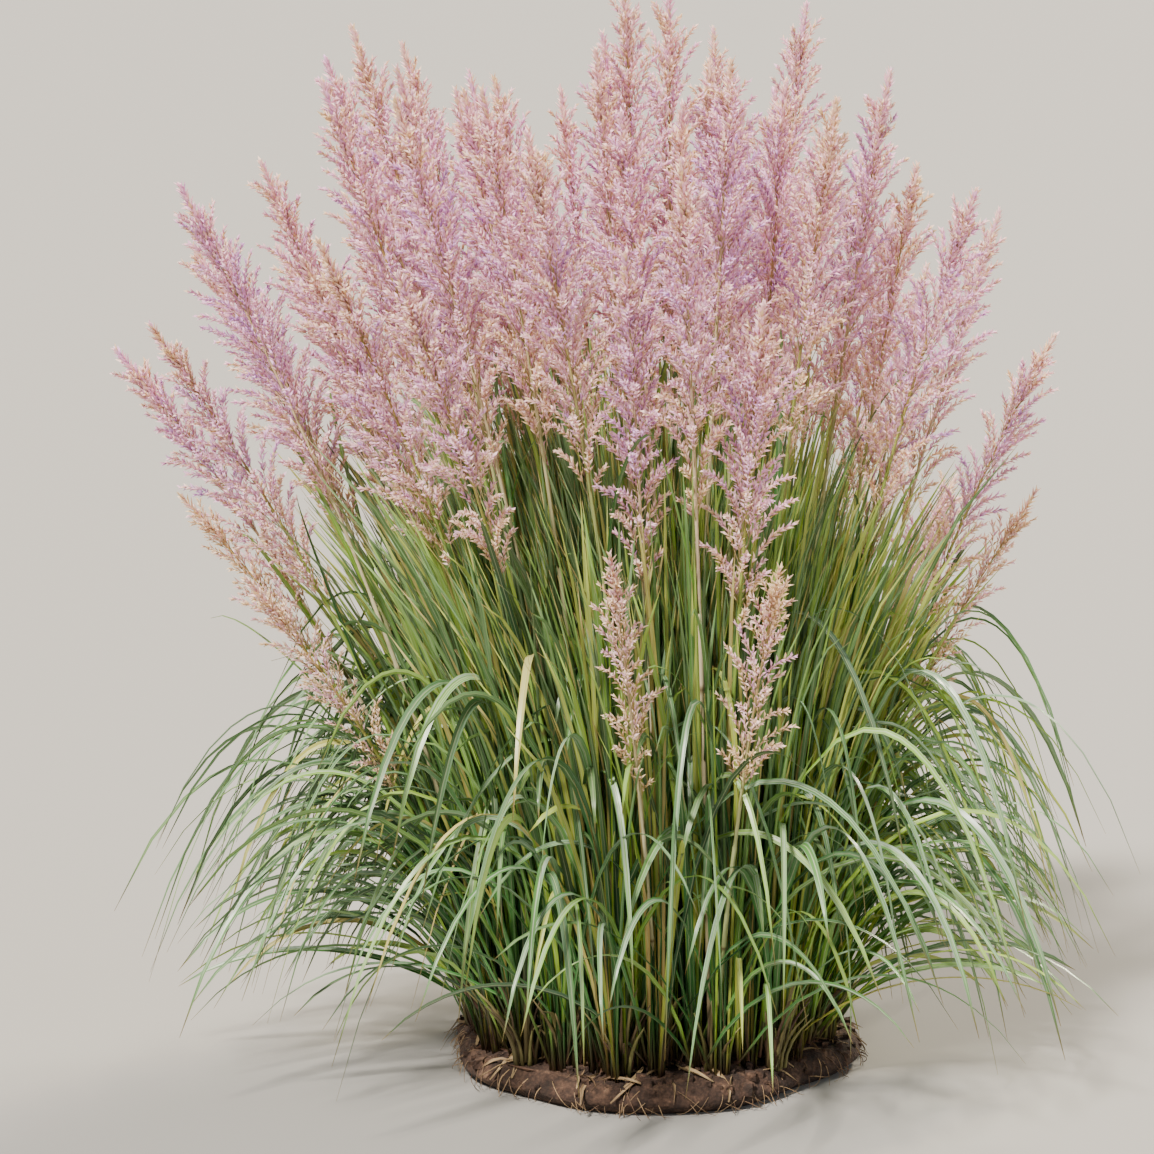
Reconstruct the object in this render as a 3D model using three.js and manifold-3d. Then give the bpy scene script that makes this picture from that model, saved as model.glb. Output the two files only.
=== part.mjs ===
// Feather reed grass, lifted with its crown. A round mat of rhizomes, roots and clinging soil holds shoots
// and tufts. A shoot has three flowering stems, each with one feathery panicle, and a tuft has six leaves.
// Millimetres, +Z up. The origin is the middle of the mat's flat underside. The front is at -Y, where two low
// stems stand, and two more stand at either side. The whole clump leans a little towards -X.

import * as THREE from 'three';
import { mergeVertices } from 'three/addons/utils/BufferGeometryUtils.js';
import Module from 'manifold-3d';

// Where shoots and tufts stand: a sunflower spiral, even sites for shoots and odd ones for tufts
const SITES = 57;
const LAST_SHOOT_SITE = 50;
const CLUMP_RADIUS = 234;
const SITE_JITTER = 4;
const GOLDEN_ANGLE = Math.PI * (3 - Math.sqrt(5));
const SITE_SEED = 1000;

// Root mat: a low dome with a wavy outline
const MAT_RADIUS = 258;
const MAT_SECTORS = 20;
const MAT_PROFILE = [[0, 0], [0.93, 0], [1, 15], [0.94, 33], [0.6, 45], [0, 53]];
const MAT_WAVES = [[3, 0.035, 0.7], [5, 0.022, 2.1], [8, 0.012, 4]];
const BUMP_HEIGHT = 3;
const BUMP_LENGTH = [37, 31];

// Foot of a shoot or tuft, standing in a five-sided hole
const FOOT_SIDES = 5;
const FOOT_BOTTOM = 22;
const FOOT_TOP = 66;
const SHOOT_FOOT_RADIUS = 12;
const TUFT_FOOT_RADIUS = 15;
const FOOT_TAPER = 1.6;
const MEET_GAP = 0.3;

// Flowering stems
const STEMS_PER_SHOOT = 3;
const STEM_LENGTH = 1190;
const RIM_SHORTENING = 235;
const STEM_SPREAD = 95;
const STEM_BASE_RADIUS = 2.6;
const STEM_NECK_RADIUS = 2.1;
const STEM_FOOT_RING = 4.4;
const RIM_LEAN = 21.5;
const SPLAY = [-3, 9];
const SPLAY_SHORTENING = 34;
const LEFT_LEAN = 5.5;
const PARTING = 3.4;
const PARTING_TURN = 0.5;
const KNEE = 0.6;
const FRONT_ZONE = 0.72;
const SIDE_ZONE = 0.78;
const SIDE_LEAN = 10;
const LOW_STEM_SHARE = [0.64, 0.8];
const CULM_ROOM = 6;
const PLUME_ROOM = 24;
const STEM_TRIES = 60;
const STEM_SEED = 20000;

// Panicles: bands of triangles turned sixty degrees from ring to ring, each raised to a spike
const PLUME_LENGTH = 385;
const SHORT_PLUME_SHARE = 0.55;
const PLUME_TAPER = 1.1;
const PLUME_BELLY = 1.3;
const PLUME_BANDS = 5;
const PLUME_BAND_SHARE = 0.176;
const PLUME_CORE_GROWTH = 2.9;
const PLUME_REACH = [43, 58];
const LOW_REACH_SHARE = 0.6;
const SPIKE_RISE = 1.4;
const SPIKE_MARGIN = 3;
const SPIKE_SHRINK = 0.85;
const LEAST_SPIKE = 0.08;

// Leaves
const LEAVES_PER_TUFT = 6;
const LEAF_FOOT_RING = 7.2;
const LEAF_STATIONS = [0, 0.15, 0.36, 0.58, 0.8];
const LEAF_WIDTHS = [0.5, 0.85, 1, 0.86, 0.55];
const LEAF_WIDTH = [8.5, 12];
const LEAF_KEEL = 1.9;
const LEAF_RISE = [650, 430];
const LEAF_REACH = [110, 430];
const LEFT_REACH = 0.2;
const LEAF_BEND = { start: 0.12, crest: 0.7, crestRise: 1.05 };
const LEAF_RISE_SPREAD = [0.85, 1.15];
const LEAF_REACH_SPREAD = [0.75, 1.15];
const LEAF_TIP_HEIGHT = [500, 70];
const LEAF_TIP_SPREAD = [-60, 150];
const LEAF_STANCE = [0.4, 1.15];
const LEAF_SIZE = [0.72, 1.12];
const LEAF_GATHERING = 0.5;
const LEAF_TURN = 0.35;
const LEAF_DRIFT = 70;
const LEAF_GAP = 0.8;
const LEAF_TRIES = 120;
const LEAF_SEED = 50000;
const LEAF_SHRINK = 0.004;
const FLOOR_ROOM = 18;
const LOWEST_TIP = 22;
const SISTER_ROOM = 6.6;
const SISTER_SHARES = [1 / 3, 2 / 3, 1];
const MAT_ROOM = [276, 78];

const UP = new THREE.Vector3(0, 0, 1);
const wasm = await Module();
wasm.setup();

/** Gives a repeatable random function for one member of the clump, with values from low to high. */
function seeded(seed) {
  let state = seed >>> 0;
  return (low, high) => {
    state = (state + 0x6d2b79f5) >>> 0;
    let mixed = Math.imul(state ^ (state >>> 15), state | 1);
    mixed ^= mixed + Math.imul(mixed ^ (mixed >>> 7), mixed | 61);
    return low + (high - low) * (((mixed ^ (mixed >>> 14)) >>> 0) / 4294967296);
  };
}

/** A level vector of the given length towards a bearing, in radians from +X. */
function level(bearing, length = 1) {
  return new THREE.Vector3(Math.cos(bearing), Math.sin(bearing), 0).multiplyScalar(length);
}

/** A value between the ends of a pair. */
function between(pair, share) {
  return pair[0] + (pair[1] - pair[0]) * share;
}

// --- Solids ---------------------------------------------------------------------------------------------

/** Collects the corners and triangles of one closed skin. */
class Skin {
  constructor() {
    this.corners = [];
    this.faces = [];
  }

  /** Adds a ring of corners and returns their numbers. */
  ring(points) {
    return points.map((point) => this.corners.push(point) - 1);
  }

  /** Closes a level ring that faces down. */
  floor(ring) {
    ring.slice(2).forEach((corner, i) => this.faces.push(ring[0], corner, ring[i + 1]));
  }

  /** Closes a level ring that faces up, apart from the rings of what grows out of it. */
  deck(ring, openings) {
    const flat = (loop) => loop.map((corner) => {
      const { x, y } = this.corners[corner];
      return new THREE.Vector2(x, y);
    });
    const numbers = [...ring, ...openings.flat()];
    const points = flat(numbers);
    for (const face of THREE.ShapeUtils.triangulateShape(flat(ring), openings.map(flat))) {
      if (THREE.ShapeUtils.isClockWise(face.map((corner) => points[corner]))) face.reverse();
      this.faces.push(...face.map((corner) => numbers[corner]));
    }
  }

  /** Joins two rings of as many corners. */
  band(low, high) {
    low.forEach((corner, i) => {
      const next = (i + 1) % low.length;
      this.faces.push(corner, low[next], high[next], corner, high[next], high[i]);
    });
  }

  /** Joins every side of a ring to one point. */
  fan(ring, point) {
    const peak = this.corners.push(point) - 1;
    ring.forEach((corner, i) => this.faces.push(corner, ring[(i + 1) % ring.length], peak));
  }

  geometry() {
    const geometry = new THREE.BufferGeometry().setFromPoints(this.corners);
    geometry.setIndex(this.faces);
    return geometry;
  }
}

/** A closed geometry as a manifold solid, its shared corners merged. */
function solidOf(geometry) {
  geometry.deleteAttribute('normal');
  geometry.deleteAttribute('uv');
  const merged = mergeVertices(geometry, 1e-3);
  const vertProperties = Float32Array.from(merged.attributes.position.array);
  const triVerts = Uint32Array.from(merged.index.array);
  return new wasm.Manifold(new wasm.Mesh({ numProp: 3, vertProperties, triVerts }));
}

/** A manifold solid as a geometry. */
function geometryOf(solid) {
  const { vertProperties, triVerts } = solid.getMesh();
  const geometry = new THREE.BufferGeometry();
  geometry.setAttribute('position', new THREE.BufferAttribute(vertProperties, 3));
  geometry.setIndex(new THREE.BufferAttribute(triVerts, 1));
  return geometry;
}

/** A geometry as a named mesh whose own origin is the given place. */
function meshOf(geometry, name, material, place) {
  geometry.translate(-place.x, -place.y, -place.z);
  geometry.computeVertexNormals();
  const mesh = new THREE.Mesh(geometry, material);
  mesh.name = name;
  mesh.position.copy(place);
  return mesh;
}

// --- Sites, their feet and the root mat -----------------------------------------------------------------

const sites = Array.from({ length: SITES }, (_, index) => {
  const draw = seeded(SITE_SEED + index);
  const out = Math.sqrt((index + 0.5) / SITES);
  const place = level(index * GOLDEN_ANGLE, out * CLUMP_RADIUS);
  place.x += draw(-SITE_JITTER, SITE_JITTER);
  place.y += draw(-SITE_JITTER, SITE_JITTER);
  const flowers = index % 2 === 0 && index <= LAST_SHOOT_SITE;
  const footRadius = flowers ? SHOOT_FOOT_RADIUS : TUFT_FOOT_RADIUS;
  return { index, out, place, flowers, footRadius, bearing: Math.atan2(place.y, place.x) };
});

/** A level ring of corners round a site. */
function footRing(site, radius, z) {
  return Array.from({ length: FOOT_SIDES }, (_, i) => {
    const corner = level(site.bearing + (i * 2 * Math.PI) / FOOT_SIDES, radius).add(site.place);
    return corner.setZ(z);
  });
}

/** The foot of a site with an opening in its flat top for each thing that grows out of it. */
function growFoot(skin, site, openings, margin = 0) {
  const radius = site.footRadius + margin / Math.cos(Math.PI / FOOT_SIDES);
  const low = skin.ring(footRing(site, radius, FOOT_BOTTOM - margin));
  const high = skin.ring(footRing(site, radius - FOOT_TAPER, FOOT_TOP + margin));
  skin.floor(low);
  skin.band(low, high);
  skin.deck(high, openings);
}

/** The hole in the root mat that a foot stands in. */
function footHole(site) {
  const skin = new Skin();
  growFoot(skin, site, [], MEET_GAP);
  return solidOf(skin.geometry());
}

/** The root mat: a lathed dome with a flat underside, a wavy outline, a lumpy top and a hole for each foot. */
function rootMat() {
  const profile = MAT_PROFILE.map(([share, z]) => new THREE.Vector2(share * MAT_RADIUS, z));
  const geometry = new THREE.LatheGeometry(profile, MAT_SECTORS);
  geometry.rotateX(Math.PI / 2);
  const corner = new THREE.Vector3();
  const { position } = geometry.attributes;
  for (let i = 0; i < position.count; i += 1) {
    corner.fromBufferAttribute(position, i);
    const bearing = Math.atan2(corner.y, corner.x);
    const waves = MAT_WAVES.map(([times, size, phase]) => size * Math.sin(times * bearing + phase));
    const wave = waves.reduce((sum, each) => sum + each, 1);
    const bump = BUMP_HEIGHT * Math.sin(corner.x / BUMP_LENGTH[0]) * Math.cos(corner.y / BUMP_LENGTH[1]);
    const z = corner.z > BUMP_HEIGHT ? corner.z + bump : 0;
    position.setXYZ(i, corner.x * wave, corner.y * wave, z);
  }
  return sites.reduce((mat, site) => mat.subtract(footHole(site)), solidOf(geometry));
}

// --- Flowering stems ------------------------------------------------------------------------------------

/** Shares of a stem's length where its rings stand: two culm rings, then the panicle's rings and tip. */
function stationsOf(neck) {
  const culm = [0, neck / 2];
  const plume = Array.from({ length: PLUME_BANDS + 1 }, (_, i) => neck + (1 - neck) * i * PLUME_BAND_SHARE);
  return [...culm, ...plume, 1];
}

/** Draws one stem: it leans outwards with its site, parts from its two sisters and bends over as it rises. */
function drawStem(site, member, draw) {
  const lowInFront = member === 0 && site.place.y < -FRONT_ZONE * CLUMP_RADIUS;
  const lowAtSide = member === 1 && Math.abs(site.place.x) > SIDE_ZONE * CLUMP_RADIUS;
  const splay = draw(...SPLAY) * site.out ** 2;
  const sector = site.bearing + (member * 2 * Math.PI) / STEMS_PER_SHOOT;
  const lean = level(site.bearing, RIM_LEAN * site.out + splay + (lowAtSide ? SIDE_LEAN : 0));
  lean.add(level(sector + draw(-PARTING_TURN, PARTING_TURN), PARTING));
  lean.x -= LEFT_LEAN;
  const share = lowInFront || lowAtSide ? draw(...LOW_STEM_SHARE) : 1;
  const rimLoss = RIM_SHORTENING * site.out ** 2.5 + SPLAY_SHORTENING * Math.max(0, splay);
  const length = (STEM_LENGTH - rimLoss + draw(-STEM_SPREAD, STEM_SPREAD)) * share;
  const foot = level(sector, STEM_FOOT_RING).add(site.place).setZ(FOOT_TOP);
  const tilt = THREE.MathUtils.degToRad(lean.length());
  const bearing = Math.atan2(lean.y, lean.x);
  const leaned = (part, by) => level(bearing, part * Math.sin(by)).addScaledVector(UP, part * Math.cos(by));
  const knee = leaned(length / 2, KNEE * tilt).add(foot);
  const curve = new THREE.QuadraticBezierCurve3(foot, knee, leaned(length, tilt).add(foot));
  const plumeLength = PLUME_LENGTH * THREE.MathUtils.lerp(SHORT_PLUME_SHARE, 1, length / STEM_LENGTH);
  const neck = 1 - plumeLength / length;
  const stations = stationsOf(neck);
  const centres = stations.map((t) => curve.getPoint(t));
  const lines = centres.slice(1).map((end, i) => new THREE.Line3(centres[i], end));
  const reach = draw(...PLUME_REACH) * THREE.MathUtils.lerp(LOW_REACH_SHARE, 1, share);
  return { site, curve, neck, stations, centres, lines, reach };
}

/** The room that a stem keeps round one of its lines. */
function roomOf(stem, line) {
  return stem.stations[line] < stem.neck ? CULM_ROOM : PLUME_ROOM;
}

/** How much further apart two stems stand than the room that both keep, at their tightest place. */
function spareRoom(one, other) {
  let spare = Infinity;
  one.lines.forEach((line, i) => {
    other.lines.forEach((facing, j) => {
      const apart = Math.sqrt(line.distanceSqToLine3(facing));
      spare = Math.min(spare, apart - roomOf(one, i) - roomOf(other, j));
    });
  });
  return spare;
}

/** Draws all stems. Each is drawn until it stands clear of the ones before, or the freest draw is kept. */
function growStems() {
  const stems = [];
  for (const site of sites.filter((each) => each.flowers)) {
    for (let member = 0; member < STEMS_PER_SHOOT; member += 1) {
      const draw = seeded(STEM_SEED + site.index * 10 + member);
      let best = null;
      for (let tries = 0; tries < STEM_TRIES && !(best?.spare >= 0); tries += 1) {
        const stem = drawStem(site, member, draw);
        const spare = Math.min(Infinity, ...stems.map((other) => spareRoom(stem, other)));
        if (!best || spare > best.spare) best = { stem, spare };
      }
      stems.push(best.stem);
    }
  }
  return stems;
}

/** Distance from a point to the middle line of a stem. */
function distanceTo(stem, point) {
  const nearest = new THREE.Vector3();
  const reaches = stem.lines.map((line) => line.closestPointToPoint(point, true, nearest).distanceTo(point));
  return Math.min(...reaches);
}

/** How far the panicle's spikes reach at a share of its length: widest low down, slender at the top. */
function plumeOutline(share) {
  return (1 - share) ** PLUME_TAPER * (1 + PLUME_BELLY * share);
}

/** The point of a spike over one triangle, drawn in until it stays nearer its own stem than any other. */
function spikePoint(stem, stems, corners, share) {
  const root = new THREE.Triangle(...corners).getMidpoint(new THREE.Vector3());
  const at = stem.neck + (1 - stem.neck) * share;
  const rise = stem.curve.getTangent(at);
  const side = root.clone().sub(stem.curve.getPoint(at));
  side.addScaledVector(rise, -side.dot(rise)).normalize();
  const way = side.addScaledVector(rise, SPIKE_RISE);
  const others = stems.filter((other) => other !== stem);
  let scale = stem.reach * plumeOutline(share);
  let point = root.clone().addScaledVector(way, scale);
  const tooNear = () => {
    const limit = distanceTo(stem, point) + SPIKE_MARGIN;
    return others.some((other) => distanceTo(other, point) < limit);
  };
  while (scale > LEAST_SPIKE * stem.reach && tooNear()) {
    scale *= SPIKE_SHRINK;
    point = root.clone().addScaledVector(way, scale);
  }
  return point;
}

/** Three corners round a stem's middle line, the first turned by the given angle. */
function stemRing(stem, at, radius, turn) {
  const rise = at > 0 ? stem.curve.getTangent(at) : UP;
  const across = new THREE.Vector3(1, 0, 0).addScaledVector(rise, -rise.x).normalize();
  const along = rise.clone().cross(across);
  return [0, 1, 2].map((corner) => {
    const angle = turn + (corner * 2 * Math.PI) / 3;
    const point = stem.curve.getPoint(at).addScaledVector(across, radius * Math.cos(angle));
    return point.addScaledVector(along, radius * Math.sin(angle));
  });
}

/** Grows a panicle on the ring at a stem's neck: each triangle between two rings is raised to a spike. */
function growPlume(skin, stem, stems, neckRing, turn) {
  stem.spread = 0;
  let low = neckRing;
  for (let band = 1; band <= PLUME_BANDS; band += 1) {
    const share = band * PLUME_BAND_SHARE;
    const radius = STEM_NECK_RADIUS + PLUME_CORE_GROWTH * share;
    const at = stem.neck + (1 - stem.neck) * share;
    const high = skin.ring(stemRing(stem, at, radius, turn + (band * Math.PI) / 3));
    for (let i = 0; i < 3; i += 1) {
      const next = (i + 1) % 3;
      const upright = [low[i], low[next], high[i]];
      const hanging = [low[next], high[next], high[i]];
      for (const [face, below] of [[upright, 2 / 3], [hanging, 1 / 3]]) {
        const corners = face.map((corner) => skin.corners[corner]);
        const point = spikePoint(stem, stems, corners, share - PLUME_BAND_SHARE * below);
        stem.spread = Math.max(stem.spread, distanceTo(stem, point));
        skin.fan(face, point);
      }
    }
    low = high;
  }
  skin.fan(low, stem.curve.getPoint(1));
}

/** Grows one stem with its panicle and returns the ring where it leaves its foot. */
function growStem(skin, stem, stems) {
  const turn = stem.site.index;
  const rings = stem.stations.filter((at) => at <= stem.neck).map((at) => {
    const radius = THREE.MathUtils.lerp(STEM_BASE_RADIUS, STEM_NECK_RADIUS, at / stem.neck);
    return skin.ring(stemRing(stem, at, radius, turn));
  });
  rings.slice(1).forEach((ring, i) => skin.band(rings[i], ring));
  growPlume(skin, stem, stems, rings.at(-1), turn);
  return rings[0];
}

// --- Leaves ---------------------------------------------------------------------------------------------

/** Draws one leaf: upright inside the clump, arching over towards the rim. */
function drawLeaf(site, member, draw, tries) {
  const turn = member - (member > LEAVES_PER_TUFT / 2 ? LEAVES_PER_TUFT : 0);
  const fan = (turn * 2 * Math.PI) / LEAVES_PER_TUFT;
  const foot = level(site.bearing + fan, LEAF_FOOT_RING).add(site.place).setZ(FOOT_TOP);
  const bearing = site.bearing + fan * (1 - LEAF_GATHERING * site.out) + draw(-LEAF_TURN, LEAF_TURN);
  const stance = Math.min(1, site.out * draw(...LEAF_STANCE));
  const size = (1 - LEAF_SHRINK * tries) * draw(...LEAF_SIZE);
  const rise = between(LEAF_RISE, stance) * size * draw(...LEAF_RISE_SPREAD);
  const leftwards = 1 - LEFT_REACH * Math.cos(bearing);
  const reach = between(LEAF_REACH, stance) * size * leftwards * draw(...LEAF_REACH_SPREAD);
  const tipAim = between(LEAF_TIP_HEIGHT, stance) * size + draw(...LEAF_TIP_SPREAD);
  const drift = draw(-LEAF_DRIFT, LEAF_DRIFT);
  const width = draw(...LEAF_WIDTH);
  const ahead = level(bearing);
  const side = UP.clone().cross(ahead);
  const at = (out, across, up) => {
    const point = foot.clone().addScaledVector(ahead, out);
    return point.addScaledVector(side, across).addScaledVector(UP, up);
  };
  const curve = new THREE.CubicBezierCurve3(
    foot,
    at(LEAF_BEND.start * reach, 0, rise),
    at(LEAF_BEND.crest * reach, drift / 2, LEAF_BEND.crestRise * rise),
    at(reach, drift, Math.max(LOWEST_TIP, tipAim) - FOOT_TOP),
  );
  const centres = [...LEAF_STATIONS, 1].map((t) => curve.getPoint(t));
  return { site, curve, ahead, side, width, centres };
}

/** Lines with a radius that hold a stem or leaf between its rings. */
function roomAround(centres, radii, site) {
  return radii.map((radius, order) => {
    const line = new THREE.Line3(centres[order], centres[order + 1]);
    return { line, radius, site, order };
  });
}

/** Whether a leaf stays above the floor and off the root mat. */
function clearOfGround(leaf) {
  const [matRadius, matHeight] = MAT_ROOM;
  return leaf.centres.slice(1).every((point) => {
    const overMat = Math.hypot(point.x, point.y) < matRadius;
    return point.z > (overMat ? matHeight : FLOOR_ROOM);
  });
}

/** Whether two sisters stand clear blade beside blade where they leave their foot, still narrow. */
function startsClear(one, other) {
  const full = one.radius + other.radius + LEAF_GAP;
  const here = new THREE.Vector3();
  const there = new THREE.Vector3();
  return SISTER_SHARES.every((share) => {
    const apart = one.line.at(share, here).distanceTo(other.line.at(share, there));
    return apart > THREE.MathUtils.lerp(SISTER_ROOM, full, share);
  });
}

/** Whether a leaf's room keeps clear of another room. */
function keepsClear(one, other) {
  const sisters = one.site === other.site;
  if (sisters && other.isFoot) return true;
  const bothStart = sisters && one.order === 0 && other.order === 0;
  if (bothStart && !startsClear(one, other)) return false;
  const apart = bothStart ? SISTER_ROOM : one.radius + other.radius + LEAF_GAP;
  return one.line.distanceSqToLine3(other.line) > apart * apart;
}

/** Draws all leaves. A leaf that finds no free way in its tries is left out. */
function growLeaves(rooms) {
  const leaves = [];
  for (const site of sites.filter((each) => !each.flowers)) {
    for (let member = 0; member < LEAVES_PER_TUFT; member += 1) {
      const draw = seeded(LEAF_SEED + site.index * 10 + member);
      for (let tries = 0; tries < LEAF_TRIES; tries += 1) {
        const leaf = drawLeaf(site, member, draw, tries);
        const widest = LEAF_WIDTHS.map((share, i) => Math.max(share, LEAF_WIDTHS[i + 1] ?? 0));
        const own = roomAround(leaf.centres, widest.map((share) => (leaf.width / 2) * share), site);
        if (clearOfGround(leaf) && own.every((one) => rooms.every((other) => keepsClear(one, other)))) {
          leaves.push(leaf);
          rooms.push(...own);
          break;
        }
      }
    }
  }
  return leaves;
}

/** Grows one leaf, flat above with a keel below, and returns the ring where it leaves its foot. */
function growLeaf(skin, leaf) {
  const rings = LEAF_STATIONS.map((at, i) => {
    const centre = leaf.curve.getPoint(at);
    const half = (leaf.width / 2) * LEAF_WIDTHS[i];
    const below = at > 0 ? leaf.side.clone().cross(leaf.curve.getTangent(at)) : leaf.ahead;
    const edge = (way) => centre.clone().addScaledVector(leaf.side, way * half);
    return skin.ring([edge(1), edge(-1), centre.clone().addScaledVector(below, LEAF_KEEL)]);
  });
  rings.slice(1).forEach((ring, i) => skin.band(rings[i], ring));
  skin.fan(rings.at(-1), leaf.curve.getPoint(1));
  return rings[0];
}

// --- Assembly -------------------------------------------------------------------------------------------

/** A mesh for each of the given sites, in which one foot carries all that grows from it. */
function bunches(ownSites, name, color, roughness, grow) {
  const material = new THREE.MeshStandardMaterial({ color, roughness, metalness: 0 });
  return ownSites.map((site, i) => {
    const skin = new Skin();
    growFoot(skin, site, grow(skin, site));
    return meshOf(skin.geometry(), `${name}_${String(i + 1).padStart(2, '0')}`, material, site.place);
  });
}

const stems = growStems();
const shoots = bunches(sites.filter((site) => site.flowers), 'shoot', '#c3a3b4', 0.8, (skin, site) => {
  return stems.filter((stem) => stem.site === site).map((stem) => growStem(skin, stem, stems));
});

const feet = sites.map((site) => {
  const line = new THREE.Line3(site.place.clone().setZ(FOOT_BOTTOM), site.place.clone().setZ(FOOT_TOP));
  return { line, radius: site.footRadius, site, isFoot: true };
});
const standing = stems.flatMap((stem) => {
  const radii = stem.stations.slice(0, -1).map((at) => (at < stem.neck ? STEM_BASE_RADIUS : stem.spread));
  return roomAround(stem.centres, radii, stem.site);
});
const leaves = growLeaves([...feet, ...standing]);
const tufts = bunches(sites.filter((site) => !site.flowers), 'tuft', '#6f8f52', 0.6, (skin, site) => {
  return leaves.filter((leaf) => leaf.site === site).map((leaf) => growLeaf(skin, leaf));
});

const soil = new THREE.MeshStandardMaterial({ color: '#4a3527', roughness: 0.95, metalness: 0 });
const mat = meshOf(geometryOf(rootMat()), 'root_mat', soil, new THREE.Vector3());

const plant = new THREE.Group();
plant.add(mat, ...shoots, ...tufts);

export default plant;
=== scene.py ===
"""Feather reed grass, lifted with its crown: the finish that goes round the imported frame.

A root mat of soil and fibres holds shoots and tufts. Each shoot has three culms that end in a feathery
panicle, each tuft has arching blades, and finer leaves fill the clump. Culms and blades are placed by the
same seeded rules as the frame's solids, so each lies in the solid that it stands for. Lengths are in
millimetres until a mesh is made, and x, y and z are the frame's.
"""

import logging
import math
from collections.abc import Callable
from dataclasses import dataclass, field
from enum import Enum

import bpy
import numpy as np
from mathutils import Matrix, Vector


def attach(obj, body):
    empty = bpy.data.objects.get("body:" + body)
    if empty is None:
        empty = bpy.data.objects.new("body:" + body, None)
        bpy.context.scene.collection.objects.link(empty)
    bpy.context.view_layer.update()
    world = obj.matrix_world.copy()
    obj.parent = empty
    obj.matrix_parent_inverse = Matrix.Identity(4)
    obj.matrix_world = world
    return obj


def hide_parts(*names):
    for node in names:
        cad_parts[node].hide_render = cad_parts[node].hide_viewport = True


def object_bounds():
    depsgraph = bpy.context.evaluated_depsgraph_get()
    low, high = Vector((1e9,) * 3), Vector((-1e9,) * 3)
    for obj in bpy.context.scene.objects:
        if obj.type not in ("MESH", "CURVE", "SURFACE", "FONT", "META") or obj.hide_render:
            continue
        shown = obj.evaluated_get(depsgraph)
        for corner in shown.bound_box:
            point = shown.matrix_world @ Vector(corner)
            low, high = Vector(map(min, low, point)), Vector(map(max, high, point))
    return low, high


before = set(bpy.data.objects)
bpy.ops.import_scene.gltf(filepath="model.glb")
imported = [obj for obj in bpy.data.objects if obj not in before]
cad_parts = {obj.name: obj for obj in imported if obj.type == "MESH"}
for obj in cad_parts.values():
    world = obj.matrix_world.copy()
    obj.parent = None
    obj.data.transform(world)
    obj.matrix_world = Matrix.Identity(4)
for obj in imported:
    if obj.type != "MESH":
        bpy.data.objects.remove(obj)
CAD_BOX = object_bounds()
LOG = logging.getLogger("reed_grass")
Pair = tuple[float, float]
METRES = 0.001
UP = np.array([0.0, 0.0, 1.0])

# Sites of shoots and tufts, as in the frame
SITES = 57
LAST_SHOOT_SITE = 50
CLUMP_RADIUS = 234.0
SITE_JITTER = 4.0
GOLDEN_ANGLE = math.pi * (3 - math.sqrt(5))
SITE_SEED = 1000
SEEDS_PER_SITE = 10
FOOT_TOP = 66.0

# Root mat, as in the frame
MAT_RADIUS = 258.0
MAT_PROFILE = ((0.0, 0.0), (0.93, 0.0), (1.0, 15.0), (0.94, 33.0), (0.6, 45.0), (0.0, 53.0))
MAT_WAVES = ((3, 0.035, 0.7), (5, 0.022, 2.1), (8, 0.012, 4.0))
BUMP_HEIGHT = 3.0
BUMP_LENGTH = (37.0, 31.0)

# Flowering stems, as in the frame
STEMS_PER_SHOOT = 3
STEM_LENGTH = 1190.0
RIM_SHORTENING = 235.0
STEM_SPREAD = 95.0
STEM_BASE_RADIUS = 2.6
STEM_NECK_RADIUS = 2.1
STEM_FOOT_RING = 4.4
RIM_LEAN = 21.5
SPLAY = (-3.0, 9.0)
SPLAY_SHORTENING = 34.0
LEFT_LEAN = 5.5
PARTING = 3.4
PARTING_TURN = 0.5
KNEE = 0.6
FRONT_ZONE = 0.72
SIDE_ZONE = 0.78
SIDE_LEAN = 10.0
LOW_STEM_SHARE = (0.64, 0.8)
STEM_TRIES = 60
STEM_SEED = 20000
PLUME_LENGTH = 385.0
SHORT_PLUME_SHARE = 0.55
PLUME_TAPER = 1.1
PLUME_BELLY = 1.3
PLUME_REACH = (43.0, 58.0)
LOW_REACH_SHARE = 0.6
SPIKE_RISE = 1.4

# Leaves, as in the frame
LEAVES_PER_TUFT = 6
LEAF_FOOT_RING = 7.2
LEAF_WIDTH = (8.5, 12.0)
LEAF_RISE = (650.0, 430.0)
LEAF_REACH = (110.0, 430.0)
LEFT_REACH = 0.2
LEAF_BEND = (0.12, 0.7, 1.05)
LEAF_RISE_SPREAD = (0.85, 1.15)
LEAF_REACH_SPREAD = (0.75, 1.15)
LEAF_TIP_HEIGHT = (500.0, 70.0)
LEAF_TIP_SPREAD = (-60.0, 150.0)
LEAF_STANCE = (0.4, 1.15)
LEAF_SIZE = (0.72, 1.12)
LEAF_GATHERING = 0.5
LEAF_TURN = 0.35
LEAF_DRIFT = 70.0
LEAF_TRIES = 120
LEAF_SEED = 50000
LEAF_SHRINK = 0.004
LOWEST_TIP = 22.0

# How near a drawn tip lies to the corner of the solid that is the same tip
SAME_PLACE = 0.2

# How far fine leaves may pass the frame's box sideways, and how low their tips may hang
BOX_MARGIN = 15.0
GROUND_CLEARANCE = 4.0

# A blade's shares of its greatest width along it, and how much closer its sections stand round its crest
BLADE_STATIONS = (0.0, 0.15, 0.38, 0.64, 0.87, 1.0)
BLADE_WIDTHS = (0.5, 0.85, 1.0, 0.95, 0.72, 0.05)
CREST = 0.6
CREST_CROWDING = 0.5

# How a fine leaf bends: the way of a stiff one and a slack one that stand up, and of one that bows
SLIGHT_BEND = (0.0, 0.05)
STRONG_BEND = (0.12, 0.45)
BOW_BEND = (0.27, 0.72, 1.12)

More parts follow.
